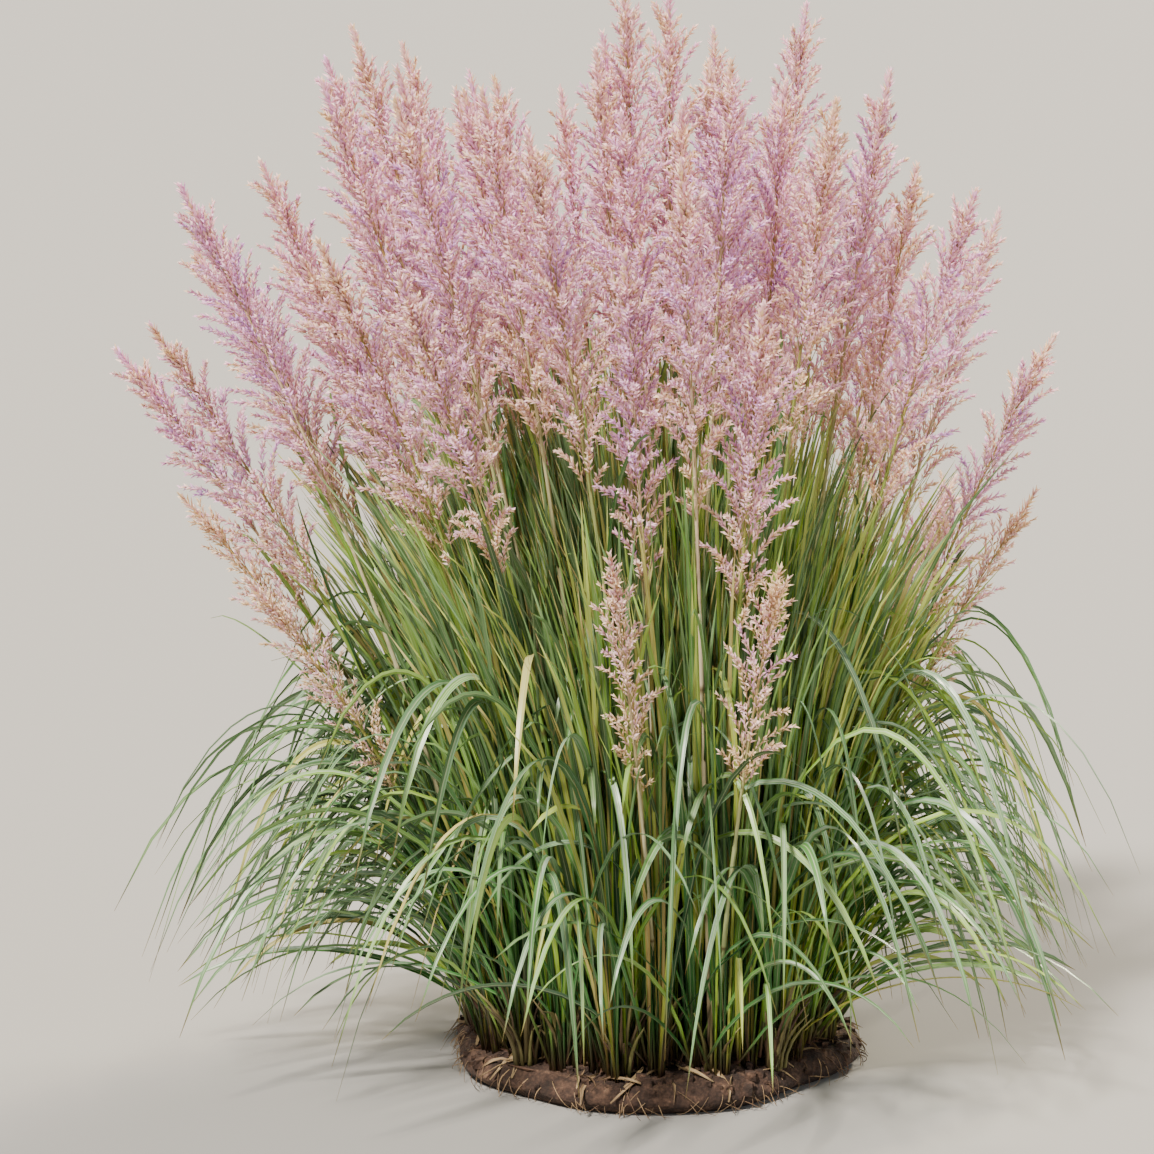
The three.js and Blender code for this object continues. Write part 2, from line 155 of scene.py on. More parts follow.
# Places along a stem: the culm takes 0 to CULM_SHARE with its nodes, the panicle's axis the rest
CULM_SHARE = 0.7
CULM_NODES = (0.12, 0.27, 0.45)

# Thickness of a broad and of a slender blade at its midrib's foot, and how far a broad one's edges stand
# over its midrib, as a share of half its width
BROAD_THICKNESS = 0.7
SLENDER_THICKNESS = 1.7
EDGE_RISE = 0.3

# Number of a colour mix's result among its outputs, and how far a strand's tint moves it through the noise
MIXED_COLOUR = 2
TINT_SCATTER = 97.0

# The baked map: a strand's column and a patch's row leave a margin, and end caps take a thin strip of it
COLUMN_MARGIN = 0.06
ROW_MARGIN = 0.04
TINT_MARGIN = 0.03
TINT_SPAN = 0.92
TINT_COLUMN = 0.02
CAP_STRIP = 0.01


class Stream:
    """Repeatable numbers for one member of the clump, by mixing 32-bit words as the frame's source does."""

    WORD = 0xFFFFFFFF
    STEP = 0x6D2B79F5

    def __init__(self, seed: int) -> None:
        """Starts the stream.

        Args:
            seed: the member's own number.
        """
        self.state = seed & self.WORD

    def draw(self, low: float, high: float) -> float:
        """Draws the next number.

        Args:
            low: the least value.
            high: the greatest value.

        Returns:
            A number between the two.
        """
        self.state = (self.state + self.STEP) & self.WORD
        mixed = ((self.state ^ (self.state >> 15)) * (self.state | 1)) & self.WORD
        mixed ^= (mixed + (mixed ^ (mixed >> 7)) * (mixed | 61)) & self.WORD
        return low + (high - low) * (mixed ^ (mixed >> 14)) / (self.WORD + 1)


def between(pair: Pair, share: np.ndarray | float) -> np.ndarray | float:
    """The value that lies a share of the way from the first of a pair to the second."""
    return pair[0] + (pair[1] - pair[0]) * share


def level(bearing: np.ndarray | float, length: np.ndarray | float = 1.0) -> np.ndarray:
    """Level vectors of the given length towards a bearing, in radians from +X."""
    bearing, length = np.broadcast_arrays(bearing, length)
    return np.stack([np.cos(bearing) * length, np.sin(bearing) * length, np.zeros(bearing.shape)], -1)


def unit(vectors: np.ndarray) -> np.ndarray:
    """The same directions with a length of one."""
    return vectors / np.linalg.norm(vectors, axis=-1, keepdims=True)


def bezier(control: np.ndarray, at: np.ndarray) -> tuple[np.ndarray, np.ndarray]:
    """Points on Bezier curves, each the sum of its control points by the Bernstein shares, and directions.

    Args:
        control: control points, (..., degree + 1, 3).
        at: parameter from 0 to 1, whose shape begins as the control's does.

    Returns:
        The points and the unit tangents, both of the shape of at with 3 added.
    """
    degree = control.shape[-2] - 1

    def blend(points: np.ndarray, order: int) -> np.ndarray:
        """The Bernstein sum of one order."""
        total = 0.0
        for i in range(order + 1):
            share = math.comb(order, i) * at**i * (1 - at) ** (order - i)
            corner = points[..., i, :]
            while corner.ndim <= share.ndim:
                corner = corner[..., None, :]
            total = total + share[..., None] * corner
        return total

    steps = control[..., 1:, :] - control[..., :-1, :]
    return blend(control, degree), unit(blend(steps, degree - 1))


# --- What grows where -----------------------------------------------------------------------------------


@dataclass(frozen=True)
class Site:
    """Where one shoot or tuft stands."""

    index: int
    out: float
    place: np.ndarray
    bearing: float
    flowers: bool
    node: str


@dataclass(frozen=True)
class Stem:
    """One culm with its panicle.

    Its curve is quadratic. The panicle starts at the neck, a share of the curve, and reaches out so far. Its
    share is how long the stem is beside a full one: less than 1 for a low stem.
    """

    control: np.ndarray
    neck: float
    length: float
    reach: float
    share: float

    @property
    def tip(self) -> np.ndarray:
        """The end of the stem."""
        return self.control[-1]


@dataclass(frozen=True)
class Leaf:
    """One blade of a tuft: a cubic curve, the direction across it and its greatest width."""

    control: np.ndarray
    side: np.ndarray
    width: float

    @property
    def tip(self) -> np.ndarray:
        """The end of the leaf."""
        return self.control[-1]


def plan_sites() -> list[Site]:
    """Sites on a sunflower spiral, even ones for shoots and odd ones for tufts, numbered as the nodes are."""
    sites = []
    counts = {True: 0, False: 0}
    for index in range(SITES):
        draw = Stream(SITE_SEED + index).draw
        out = math.sqrt((index + 0.5) / SITES)
        place = level(index * GOLDEN_ANGLE, out * CLUMP_RADIUS)
        place[0] += draw(-SITE_JITTER, SITE_JITTER)
        place[1] += draw(-SITE_JITTER, SITE_JITTER)
        flowers = index % 2 == 0 and index <= LAST_SHOOT_SITE
        counts[flowers] += 1
        node = f"{'shoot' if flowers else 'tuft'}_{counts[flowers]:02d}"
        sites.append(Site(index, out, place, math.atan2(place[1], place[0]), flowers, node))
    return sites


def draw_stem(site: Site, member: int, draw: Callable[[float, float], float], tries: int) -> Stem:
    """Draws one stem: it leans outwards with its site, parts from its sisters and bends over as it rises.

    Args:
        site: where its shoot stands.
        member: which of the shoot's stems it is.
        draw: the stem's own stream.
        tries: how many were drawn before it, which changes nothing for a stem.

    Returns:
        The stem.
    """
    low_in_front = member == 0 and site.place[1] < -FRONT_ZONE * CLUMP_RADIUS
    low_at_side = member == 1 and abs(site.place[0]) > SIDE_ZONE * CLUMP_RADIUS
    splay = draw(*SPLAY) * site.out**2
    sector = site.bearing + member * 2 * math.pi / STEMS_PER_SHOOT
    lean = level(site.bearing, RIM_LEAN * site.out + splay + (SIDE_LEAN if low_at_side else 0.0))
    lean += level(sector + draw(-PARTING_TURN, PARTING_TURN), PARTING)
    lean[0] -= LEFT_LEAN
    share = draw(*LOW_STEM_SHARE) if low_in_front or low_at_side else 1.0
    rim_loss = RIM_SHORTENING * site.out**2.5 + SPLAY_SHORTENING * max(0.0, splay)
    length = (STEM_LENGTH - rim_loss + draw(-STEM_SPREAD, STEM_SPREAD)) * share
    foot = level(sector, STEM_FOOT_RING) + site.place + UP * FOOT_TOP
    tilt = math.radians(float(np.linalg.norm(lean)))
    bearing = math.atan2(lean[1], lean[0])
    half = length / 2
    knee = foot + level(bearing, half * math.sin(KNEE * tilt)) + UP * (half * math.cos(KNEE * tilt))
    tip = foot + level(bearing, length * math.sin(tilt)) + UP * (length * math.cos(tilt))
    neck = 1 - PLUME_LENGTH * between((SHORT_PLUME_SHARE, 1.0), length / STEM_LENGTH) / length
    reach = draw(*PLUME_REACH) * between((LOW_REACH_SHARE, 1.0), share)
    return Stem(np.stack([foot, knee, tip]), neck, length, reach, share)


def draw_leaf(site: Site, member: int, draw: Callable[[float, float], float], tries: int) -> Leaf:
    """Draws one leaf: upright inside the clump, arching over towards the rim.

    Args:
        site: where its tuft stands.
        member: which of the tuft's leaves it is.
        draw: the leaf's own stream.
        tries: how many were drawn before it, each a little smaller.

    Returns:
        The leaf.
    """
    turn = member - (LEAVES_PER_TUFT if member > LEAVES_PER_TUFT / 2 else 0)
    fan = turn * 2 * math.pi / LEAVES_PER_TUFT
    foot = level(site.bearing + fan, LEAF_FOOT_RING) + site.place + UP * FOOT_TOP
    bearing = site.bearing + fan * (1 - LEAF_GATHERING * site.out) + draw(-LEAF_TURN, LEAF_TURN)
    stance = min(1.0, site.out * draw(*LEAF_STANCE))
    size = (1 - LEAF_SHRINK * tries) * draw(*LEAF_SIZE)
    rise = between(LEAF_RISE, stance) * size * draw(*LEAF_RISE_SPREAD)
    leftwards = 1 - LEFT_REACH * math.cos(bearing)
    reach = between(LEAF_REACH, stance) * size * leftwards * draw(*LEAF_REACH_SPREAD)
    tip_aim = between(LEAF_TIP_HEIGHT, stance) * size + draw(*LEAF_TIP_SPREAD)
    drift = draw(-LEAF_DRIFT, LEAF_DRIFT)
    width = draw(*LEAF_WIDTH)
    tip_rise = max(LOWEST_TIP, tip_aim) - FOOT_TOP
    control = arch(foot, np.array(bearing), np.array([rise, reach, tip_rise, drift]))
    return Leaf(control, np.cross(UP, level(bearing)), width)


def arch(foot: np.ndarray, bearing: np.ndarray, shape: np.ndarray,
         bend: tuple[float, float, float] = LEAF_BEND) -> np.ndarray:
    """Control points of arching blades: up from the foot, over a crest and down to the tip.

    Args:
        foot: where each starts, (..., 3).
        bearing: the way each goes, in radians, (...).
        shape: the rise of the crest, the reach of the tip, its height over the foot and its sideways
            drift, (..., 4).
        bend: how far out the first two bends stand, as shares of the reach, and the second one's height, as
            a share of the rise.

    Returns:
        Control points, (..., 4, 3).
    """
    ahead = level(bearing)
    side = np.cross(UP, ahead)
    rise, reach, tip_rise, drift = (shape[..., i, None] for i in range(4))
    start, crest, crest_rise = bend
    first = foot + ahead * start * reach + UP * rise
    second = foot + ahead * crest * reach + side * drift / 2 + UP * crest_rise * rise
    last = foot + ahead * reach + side * drift + UP * tip_rise
    return np.stack([foot + 0 * ahead, first, second, last], -2)


def kept(site: Site, member: int, seed: int, most_tries: int, draw_one: Callable) -> Stem | Leaf | None:
    """The draw of a stream that the frame kept: the one whose tip is a corner of the site's solid.

    Args:
        site: where the stem or leaf stands.
        member: which of the site's it is.
        seed: the first seed of its kind.
        most_tries: how many draws the frame made at most.
        draw_one: draws one stem or leaf.

    Returns:
        The stem or leaf, or None where the frame left it out.
    """
    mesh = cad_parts[site.node].data
    corners = np.empty(len(mesh.vertices) * 3)
    mesh.vertices.foreach_get("co", corners)
    corners = corners.reshape(-1, 3) / METRES
    draw = Stream(seed + site.index * SEEDS_PER_SITE + member).draw
    for tries in range(most_tries):
        grown = draw_one(site, member, draw, tries)
        if np.abs(corners - grown.tip).max(axis=1).min() < SAME_PLACE:
            return grown
    return None


# --- Meshes ---------------------------------------------------------------------------------------------


class Finish(Enum):
    """The surfaces of the plant."""

    HUSK = "papery husks of a panicle"
    CULM = "culms and the branches of panicles"
    BLADE = "slender leaves"
    WAXY = "broad and arching leaves"
    DRY = "withered leaves"
    SHEATH = "sheaths round the foot of a shoot"
    SOIL = "the root mat's soil"
    ROOT = "root fibres"


class Sharing(Enum):
    """How strands share the map that a finish is baked through."""

    OWN_COLUMN = "a column for each strand"
    BY_TINT = "one place for each tint"


@dataclass
class Patch:
    """Closed strands of one finish. A face corner's place is across by pattern, across by map, and along."""

    corners: np.ndarray
    tris: np.ndarray
    quads: np.ndarray
    tri_places: np.ndarray
    quad_places: np.ndarray
    tint: np.ndarray
    strand: np.ndarray
    crease: np.ndarray
    finish: Finish
    sharing: Sharing
    smooth: bool


@dataclass(frozen=True)
class Section:
    """The outline of a strand: across in widths, fold in widths, thickness in heights, and pattern places."""

    across: np.ndarray
    fold: np.ndarray
    thick: np.ndarray
    around: np.ndarray
    creased: bool

    @staticmethod
    def round(sides: int) -> "Section":
        """A round section with so many corners."""
        angle = np.arange(sides) * 2 * np.pi / sides
        return Section(np.cos(angle), np.zeros(sides), np.sin(angle), np.linspace(0, 1, sides + 1), False)

    @staticmethod
    def blade(fold: float) -> "Section":
        """A broad leaf's section: two flat wings that rise from the midrib to thin edges.

        Args:
            fold: how high an edge stands over the midrib, as a share of half the width.

        Returns:
            The section.
        """
        across = np.array([0.0, -1.0, 0.0, 1.0])
        thick = np.array([0.0, 0.0, -1.0, 0.0])
        return Section(across, np.abs(across) * fold, thick, np.array([0.5, 0.0, 0.5, 1.0, 0.5]), True)

    @staticmethod
    def keeled() -> "Section":
        """A slender leaf's section: flat above, with a low keel below."""
        across = np.array([1.0, -1.0, 0.0])
        thick = np.array([0.0, 0.0, -1.0])
        return Section(across, np.zeros(3), thick, np.array([1.0, 0.0, 0.5, 1.0]), True)


@dataclass
class Spine:
    """Middle lines of strands, (strands, stations, 3), with the ways across and over them at each station."""

    points: np.ndarray
    side: np.ndarray
    normal: np.ndarray
    along: np.ndarray

    @staticmethod
    def on(control: np.ndarray, at: np.ndarray, across: np.ndarray,
           turn: np.ndarray | float = 0.0) -> "Spine":
        """Lays spines on Bezier curves: the side is the given way made square to the tangent, then turned.

        Args:
            control: control points, (strands, degree + 1, 3).
            at: parameters of the stations, (strands, stations) or (stations,).
            across: the way across each strand, (strands, 3).
            turn: how far each strand has turned about itself at its tip, in radians, (strands,).

        Returns:
            The spines.
        """
        at = np.broadcast_to(at, (len(control), np.shape(at)[-1]))
        points, tangent = bezier(control, at)
        across = across[:, None]
        square = unit(across - tangent * np.sum(across * tangent, -1, keepdims=True))
        over = np.cross(tangent, square)
        angle = (np.broadcast_to(turn, len(control))[:, None] * at)[..., None]
        side = square * np.cos(angle) + over * np.sin(angle)
        return Spine(points, side, np.cross(tangent, side), at)


def grid_quads(number: np.ndarray) -> np.ndarray:
    """The quads between the rows of grids of corners that close round, (..., rows - 1, columns, 4)."""
    beside = np.roll(number, -1, axis=-1)
    return np.stack([number[..., :-1, :], beside[..., :-1, :], beside[..., 1:, :], number[..., 1:, :]], -1)


def grid_places(along: np.ndarray, *around: np.ndarray) -> np.ndarray:
    """Places at the corners of a grid's quads: by each line around, then along.

    Args:
        along: places of the rows, (..., rows).
        around: lines of places of the columns, the first column's once more at the end, (columns + 1,).

    Returns:
        The places, (..., rows - 1, columns, 4, lines + 1).
    """
    shape = (*along.shape[:-1], along.shape[-1] - 1, len(around[0]) - 1)
    low, high = (np.broadcast_to(part[..., None], shape) for part in (along[..., :-1], along[..., 1:]))
    lines = []
    for line in around:
        start, end = (np.broadcast_to(part, shape) for part in (line[:-1], line[1:]))
        lines.append(np.stack([start, end, end, start], -1))
    return np.stack([*lines, np.stack([low, low, high, high], -1)], -1)


def cap_fan(sides: int) -> np.ndarray:
    """The triangles of a flat end, all from its first corner, (sides - 2, 3)."""
    return np.stack([np.zeros(sides - 2, int), np.arange(1, sides - 1), np.arange(2, sides)], -1)


def cap_places(pattern: np.ndarray, rim: np.ndarray) -> np.ndarray:
    """Places at a flat end's corners, (sides - 2, 3, 3): by both lines around, and a thin strip along."""
    fan = cap_fan(len(rim) - 1)
    return np.stack([pattern[fan], rim[fan], CAP_STRIP * (fan % 2)], -1)


def sweep(spine: Spine, section: Section, widths: np.ndarray, heights: np.ndarray, tint: np.ndarray,
          finish: Finish, sharing: Sharing = Sharing.OWN_COLUMN) -> Patch:
    """Carries a section along spines and closes both ends.

    A corner is the station's point, plus the side by the section's across times the width, plus the normal
    by its fold times the width and its thickness times the height.

    Args:
        spine: the middle lines.
        section: the outline, anticlockwise about the tangent.
        widths: half the width at each station, (strands, stations).
        heights: the thickness at each station, (strands, stations).
        tint: each strand's own shade from 0 to 1, (strands,).
        finish: what the strands are.
        sharing: how they share the baked map.

    Returns:
        The strands as a patch.
    """
    strands, stations = spine.points.shape[:2]
    sides = len(section.across)
    widths = np.broadcast_to(widths, (strands, stations))[:, :, None, None]
    heights = np.broadcast_to(heights, (strands, stations))[:, :, None, None]
    aside = section.across[:, None] * widths
    over = section.fold[:, None] * widths + section.thick[:, None] * heights
    corners = spine.points[:, :, None] + spine.side[:, :, None] * aside + spine.normal[:, :, None] * over
    number = np.arange(strands * stations * sides).reshape(strands, stations, sides)
    rim = np.linspace(0, 1, sides + 1)
    fan = cap_fan(sides)
    bottom, top = number[:, 0][:, fan[:, ::-1]], number[:, -1][:, fan]
    cap = cap_places(section.around, rim)[None]
    bottom_places = cap[:, :, ::-1] + spine.along[:, :1, None, None] * UP
    top_places = cap * [1, 1, -1] + spine.along[:, -1:, None, None] * UP
    line = np.arange(1, sides + 1) if section.creased else np.zeros(sides, int)
    return Patch(
        corners.reshape(-1, 3), np.concatenate([bottom, top], 1).reshape(-1, 3),
        grid_quads(number).reshape(-1, 4), np.concatenate([bottom_places, top_places], 1).reshape(-1, 3, 3),
        grid_places(spine.along, section.around, rim).reshape(-1, 4, 3),
        np.repeat(tint, stations * sides), np.repeat(np.arange(strands), stations * sides),
        np.tile(line, strands * stations), finish, sharing, True)


def together(patches: list[Patch], name: str, steps: list[int] | None = None) -> np.ndarray:
    """One of the arrays of several patches as one array.

    Args:
        patches: the patches.
        name: the array's name.
        steps: how many corners or strands each patch has, where the array counts them on.

    Returns:
        The array.
    """
    starts = np.cumsum([0] + (steps or [0] * len(patches)))
    return np.concatenate([getattr(patch, name) + start for patch, start in zip(patches, starts)])


def joined(patches: list[Patch]) -> list[Patch]:
    """Joins patches of the same finish in one, so that they share one row of the baked map."""
    merged = []
    for finish in dict.fromkeys(patch.finish for patch in patches):
        same = [patch for patch in patches if patch.finish is finish]
        corners = [len(patch.corners) for patch in same]
        strands = [patch.strand.max() + 1 for patch in same]
        merged.append(Patch(
            together(same, "corners"), together(same, "tris", corners), together(same, "quads", corners),
            together(same, "tri_places"), together(same, "quad_places"), together(same, "tint"),
            together(same, "strand", strands), together(same, "crease"),
            finish, same[0].sharing, same[0].smooth))
    return merged


class Bundle:
    """Patches that make up one piece."""

    def __init__(self, name: str, slot: str) -> None:
        """Starts an empty piece.

        Args:
            name: the piece's name.
            slot: a material slot's name, kept on the piece but not used.
        """
        self.name = name
        self.slot = slot
        self.patches: list[Patch] = []

    def add(self, *patches: Patch) -> None:
        """Adds strands to the piece."""
        self.patches.extend(patches)

    def maps(self) -> dict[str, np.ndarray]:
        """Places of the face corners, tris first: by pattern, and on the baked map with a row for a patch."""
        places: dict[str, list[np.ndarray]] = {"Strand": [], "OFBake": []}
        for kind, of_corners in (("tris", "tri_places"), ("quads", "quad_places")):
            for row, patch in enumerate(self.patches):
                faces, place = getattr(patch, kind), getattr(patch, of_corners)
                across, along = place[..., 1], np.clip(place[..., 2], 0, 1)
                if patch.sharing is Sharing.OWN_COLUMN:
                    strand = patch.strand[faces] + COLUMN_MARGIN + (1 - 2 * COLUMN_MARGIN) * across
                    column = strand / (patch.strand.max() + 1)
                else:
                    column = TINT_MARGIN + TINT_SPAN * patch.tint[faces] + TINT_COLUMN * across
                height = (row + ROW_MARGIN + (1 - 2 * ROW_MARGIN) * along) / len(self.patches)
                places["Strand"].append(place[..., ::2].reshape(-1, 2))
                places["OFBake"].append(np.stack([column, height], -1).reshape(-1, 2))
        return {name: np.concatenate(parts) for name, parts in places.items()}

    def make(self, *nodes: str) -> None:
        """Builds the mesh and its maps, dresses it, and lets it ride and stand for nodes.

        Args:
            nodes: the frame's nodes that it replaces.
        """
        counts = [len(patch.corners) for patch in self.patches]
        tris, quads = (together(self.patches, kind, counts) for kind in ("tris", "quads"))
        corners = together(self.patches, "corners") * METRES
        loops = np.concatenate([tris.ravel(), quads.ravel()]).astype(np.int32)
        sizes = np.concatenate([np.full(len(tris), 3), np.full(len(quads), 4)]).astype(np.int32)
        mesh = bpy.data.meshes.new(self.name)
        mesh.vertices.add(len(corners))
        mesh.vertices.foreach_set("co", corners.astype(np.float32).ravel())
        mesh.loops.add(len(loops))
        mesh.loops.foreach_set("vertex_index", loops)
        mesh.polygons.add(len(sizes))
        mesh.polygons.foreach_set("loop_start", np.cumsum(sizes).astype(np.int32) - sizes)
        mesh.update(calc_edges=True)
        finishes = list(dict.fromkeys(patch.finish for patch in self.patches))
        faces = [len(getattr(patch, kind)) for kind in ("tris", "quads") for patch in self.patches]
        worn = np.repeat([finishes.index(patch.finish) for patch in self.patches] * 2, faces)
        smooth = np.repeat([patch.smooth for patch in self.patches] * 2, faces)
        mesh.polygons.foreach_set("material_index", worn.astype(np.int32))
        mesh.polygons.foreach_set("use_smooth", smooth)
        for name, places in self.maps().items():
            layer = mesh.uv_layers.new(name=name, do_init=False)
            layer.uv.foreach_set("vector", places.astype(np.float32).ravel())
        tint = mesh.attributes.new("tint", "FLOAT", "POINT")
        tint.data.foreach_set("value", together(self.patches, "tint").astype(np.float32))
        ends = np.empty(len(mesh.edges) * 2, np.int32)
        mesh.edges.foreach_get("vertices", ends)
        line = together(self.patches, "crease")[ends.reshape(-1, 2)]
        mesh.edges.foreach_set("use_edge_sharp", (line[:, 0] == line[:, 1]) & (line[:, 0] > 0))
        for finish in finishes:
            mesh.materials.append(FINISHES[finish])
        piece = bpy.data.objects.new(self.name, mesh)
        bpy.context.scene.collection.objects.link(piece)
        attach(piece, "root")
        if nodes:
            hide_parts(*nodes)
        LOG.info("%s: %d triangles", self.name, len(tris) + 2 * len(quads))


# --- Finishes -------------------------------------------------------------------------------------------


def linear(colour: str) -> tuple[float, float, float, float]:
    """An sRGB hex colour as linear red, green, blue and alpha."""
    parts = (int(colour[i:i + 2], 16) / 255 for i in (1, 3, 5))
    red, green, blue = (p / 12.92 if p <= 0.04045 else ((p + 0.055) / 1.055) ** 2.4 for p in parts)
    return red, green, blue, 1.0


def add(tree: bpy.types.NodeTree, kind: str, links: dict | None = None, stops: tuple = (),
        **settings: object) -> bpy.types.Node:
    """Adds one node with its settings and links.

    Args:
        tree: the material's node tree.
        kind: the node's type, without the words that all types begin with.
        links: what each input takes, by name or number: an output, another node's main output, a value or a
            hex colour.
        stops: places and hex colours or grey values of a colour ramp.
        settings: the node's own properties.

    Returns:
        The node.
    """
    node = tree.nodes.new(f"ShaderNode{kind}")
    for name, value in settings.items():
        setattr(node, name, value)
    for socket, value in (links or {}).items():
        if isinstance(value, bpy.types.Node):
            value = value.outputs[MIXED_COLOUR if value.bl_idname == "ShaderNodeMix" else 0]
        if isinstance(value, bpy.types.NodeSocket):
            tree.links.new(value, node.inputs[socket])
        else:
            node.inputs[socket].default_value = linear(value) if isinstance(value, str) else value
    for number, (place, colour) in enumerate(stops):
        elements = node.color_ramp.elements
        element = elements[number] if number < 2 else elements.new(place)
        element.position = place
        element.color = linear(colour) if isinstance(colour, str) else (colour, colour, colour, 1.0)
    return node


def new_material(name: str) -> bpy.types.Material:
    """An empty node material."""
    material = bpy.data.materials.new(name)
    material.use_nodes = True
    material.node_tree.nodes.clear()
    return material


@dataclass(frozen=True)
class StrandFinish:
    """What the finishes of thin strands share: places along and across a strand, and light through it.

    A thin leaf or husk is a dull dielectric that lets part of the light through, so it glows against it.
    """

    name: str
    roughness: float
    through: float

    def places(self, tree: bpy.types.NodeTree) -> tuple[bpy.types.NodeSocket, ...]:
        """Outputs for the place across, the place along and the strand's own tint."""
        place = add(tree, "UVMap", uv_map="Strand")
        split = add(tree, "SeparateXYZ", {0: place})
        tint = add(tree, "Attribute", attribute_name="tint", attribute_type="GEOMETRY")
        return split.outputs[0], split.outputs[1], tint.outputs["Fac"]

    def streaks(self, tree: bpy.types.NodeTree, across: float, along: float,
                detail: float) -> bpy.types.NodeSocket:
        """Noise drawn out along the strand, another for each tint.

        Args:
            tree: the material's node tree.
            across: how many streaks lie across the strand.
            along: how many lie along it.
            detail: octaves of finer noise.

        Returns:
            The noise's output, from 0 to 1.
        """
        side, length, tint = self.places(tree)
        wide = add(tree, "Math", {0: side, 1: across}, operation="MULTIPLY")
        long = add(tree, "Math", {0: length, 1: along}, operation="MULTIPLY")
        own = add(tree, "Math", {0: tint, 1: TINT_SCATTER}, operation="MULTIPLY")
        spot = add(tree, "CombineXYZ", {0: wide, 1: long, 2: own})
        return add(tree, "TexNoise", {"Vector": spot, "Scale": 1.0, "Detail": detail}).outputs["Fac"]

    def close(self, tree: bpy.types.NodeTree, colour: bpy.types.Node,
              bumps: bpy.types.NodeSocket | None = None, depth: float = 0.1) -> None:
        """Ends a material: a principled surface, and light that comes through from behind.

        Args:
            tree: the material's node tree.
            colour: the node that gives the base colour.
            bumps: heights for the bump, if it has any.
            depth: the bump's depth in millimetres.
        """
        links = {"Base Color": colour, "Roughness": self.roughness}
        if bumps is not None:
            bump = add(tree, "Bump", {"Height": bumps, "Distance": depth * METRES, "Strength": 1.0})
            links["Normal"] = bump
        surface = add(tree, "BsdfPrincipled", links)
        behind = add(tree, "BsdfTranslucent", {"Color": colour})
        both = add(tree, "MixShader", {0: self.through, 1: surface, 2: behind})
        add(tree, "OutputMaterial", {"Surface": both})


@dataclass(frozen=True)
class HuskFinish(StrandFinish):
    """Papery glumes of a panicle, dull and thin enough to glow.

    Their colour runs from violet through rose to straw with the husk's tint, and each is mauve or tan at its
    base and bleached at its tip, which gives the panicle its feathery, frosted look.
    """

    def make(self) -> bpy.types.Material:
        """The finished material."""
        material = new_material(self.name)
        tree = material.node_tree
        _, along, tint = self.places(tree)
        body = add(tree, "ValToRGB", {0: tint}, (
            (0.0, "#9858ac"), (0.3, "#c680b6"), (0.55, "#d08ba3"), (0.75, "#ca9a78"), (1.0, "#bc8f55")))
        tip = add(tree, "ValToRGB", {0: tint}, (
            (0.0, "#efc6f6"), (0.35, "#fcd6ec"), (0.7, "#ffe8da"), (1.0, "#fbe5bd")))
        fade = add(tree, "ValToRGB", {0: along}, ((0.05, 0.0), (0.6, 1.0)))
        self.close(tree, add(tree, "Mix", {0: fade, 6: body, 7: tip}, data_type="RGBA"))
        return material


@dataclass(frozen=True)
class CulmFinish(StrandFinish):
    """A smooth reed culm with a slight sheen and fine lengthwise streaks.

    A fresh one is purplish at the foot, green below and straw above, a ripe one is pale straw, and both have
    a dark ring at each node.
    """

    nodes_at: tuple[float, ...]
    ring_below: float = 0.008
    ring_above: float = 0.006

    def make(self) -> bpy.types.Material:
        """The finished material."""
        material = new_material(self.name)
        tree = material.node_tree
        _, along, tint = self.places(tree)
        fresh = add(tree, "ValToRGB", {0: along}, (
            (0.0, "#5d3f3c"), (0.05, "#4f5a30"), (0.12, "#4a7a2a"), (0.5, "#86ad48"), (0.72, "#94a84c"),
            (0.84, "#bfa25a"), (1.0, "#cf9a5a")))
        ripe = add(tree, "ValToRGB", {0: along}, (
            (0.0, "#5a4038"), (0.12, "#a89d74"), (0.5, "#d8c8a6"), (1.0, "#d2b48e")))
        age = add(tree, "ValToRGB", {0: tint}, ((0.4, 0.0), (0.75, 1.0)))
        base = add(tree, "Mix", {0: age, 6: fresh, 7: ripe}, data_type="RGBA")
        streak = self.streaks(tree, across=9.0, along=14.0, detail=3.0)
        shade = add(tree, "ValToRGB", {0: streak}, ((0.35, 0.62), (0.6, 1.0)))
        base = add(tree, "Mix", {0: 0.8, 6: base, 7: shade}, data_type="RGBA", blend_type="MULTIPLY")
        rings = [(0.0, 0.0), (1.0, 0.0)]
        for place in self.nodes_at:
            rings += [(place - self.ring_below, 0.0), (place, 1.0), (place + self.ring_above, 0.0)]
        ring = add(tree, "ValToRGB", {0: along}, tuple(rings))
        self.close(tree, add(tree, "Mix", {0: ring, 6: base, 7: "#5f4a2c"}, data_type="RGBA"), streak, 0.15)
        return material


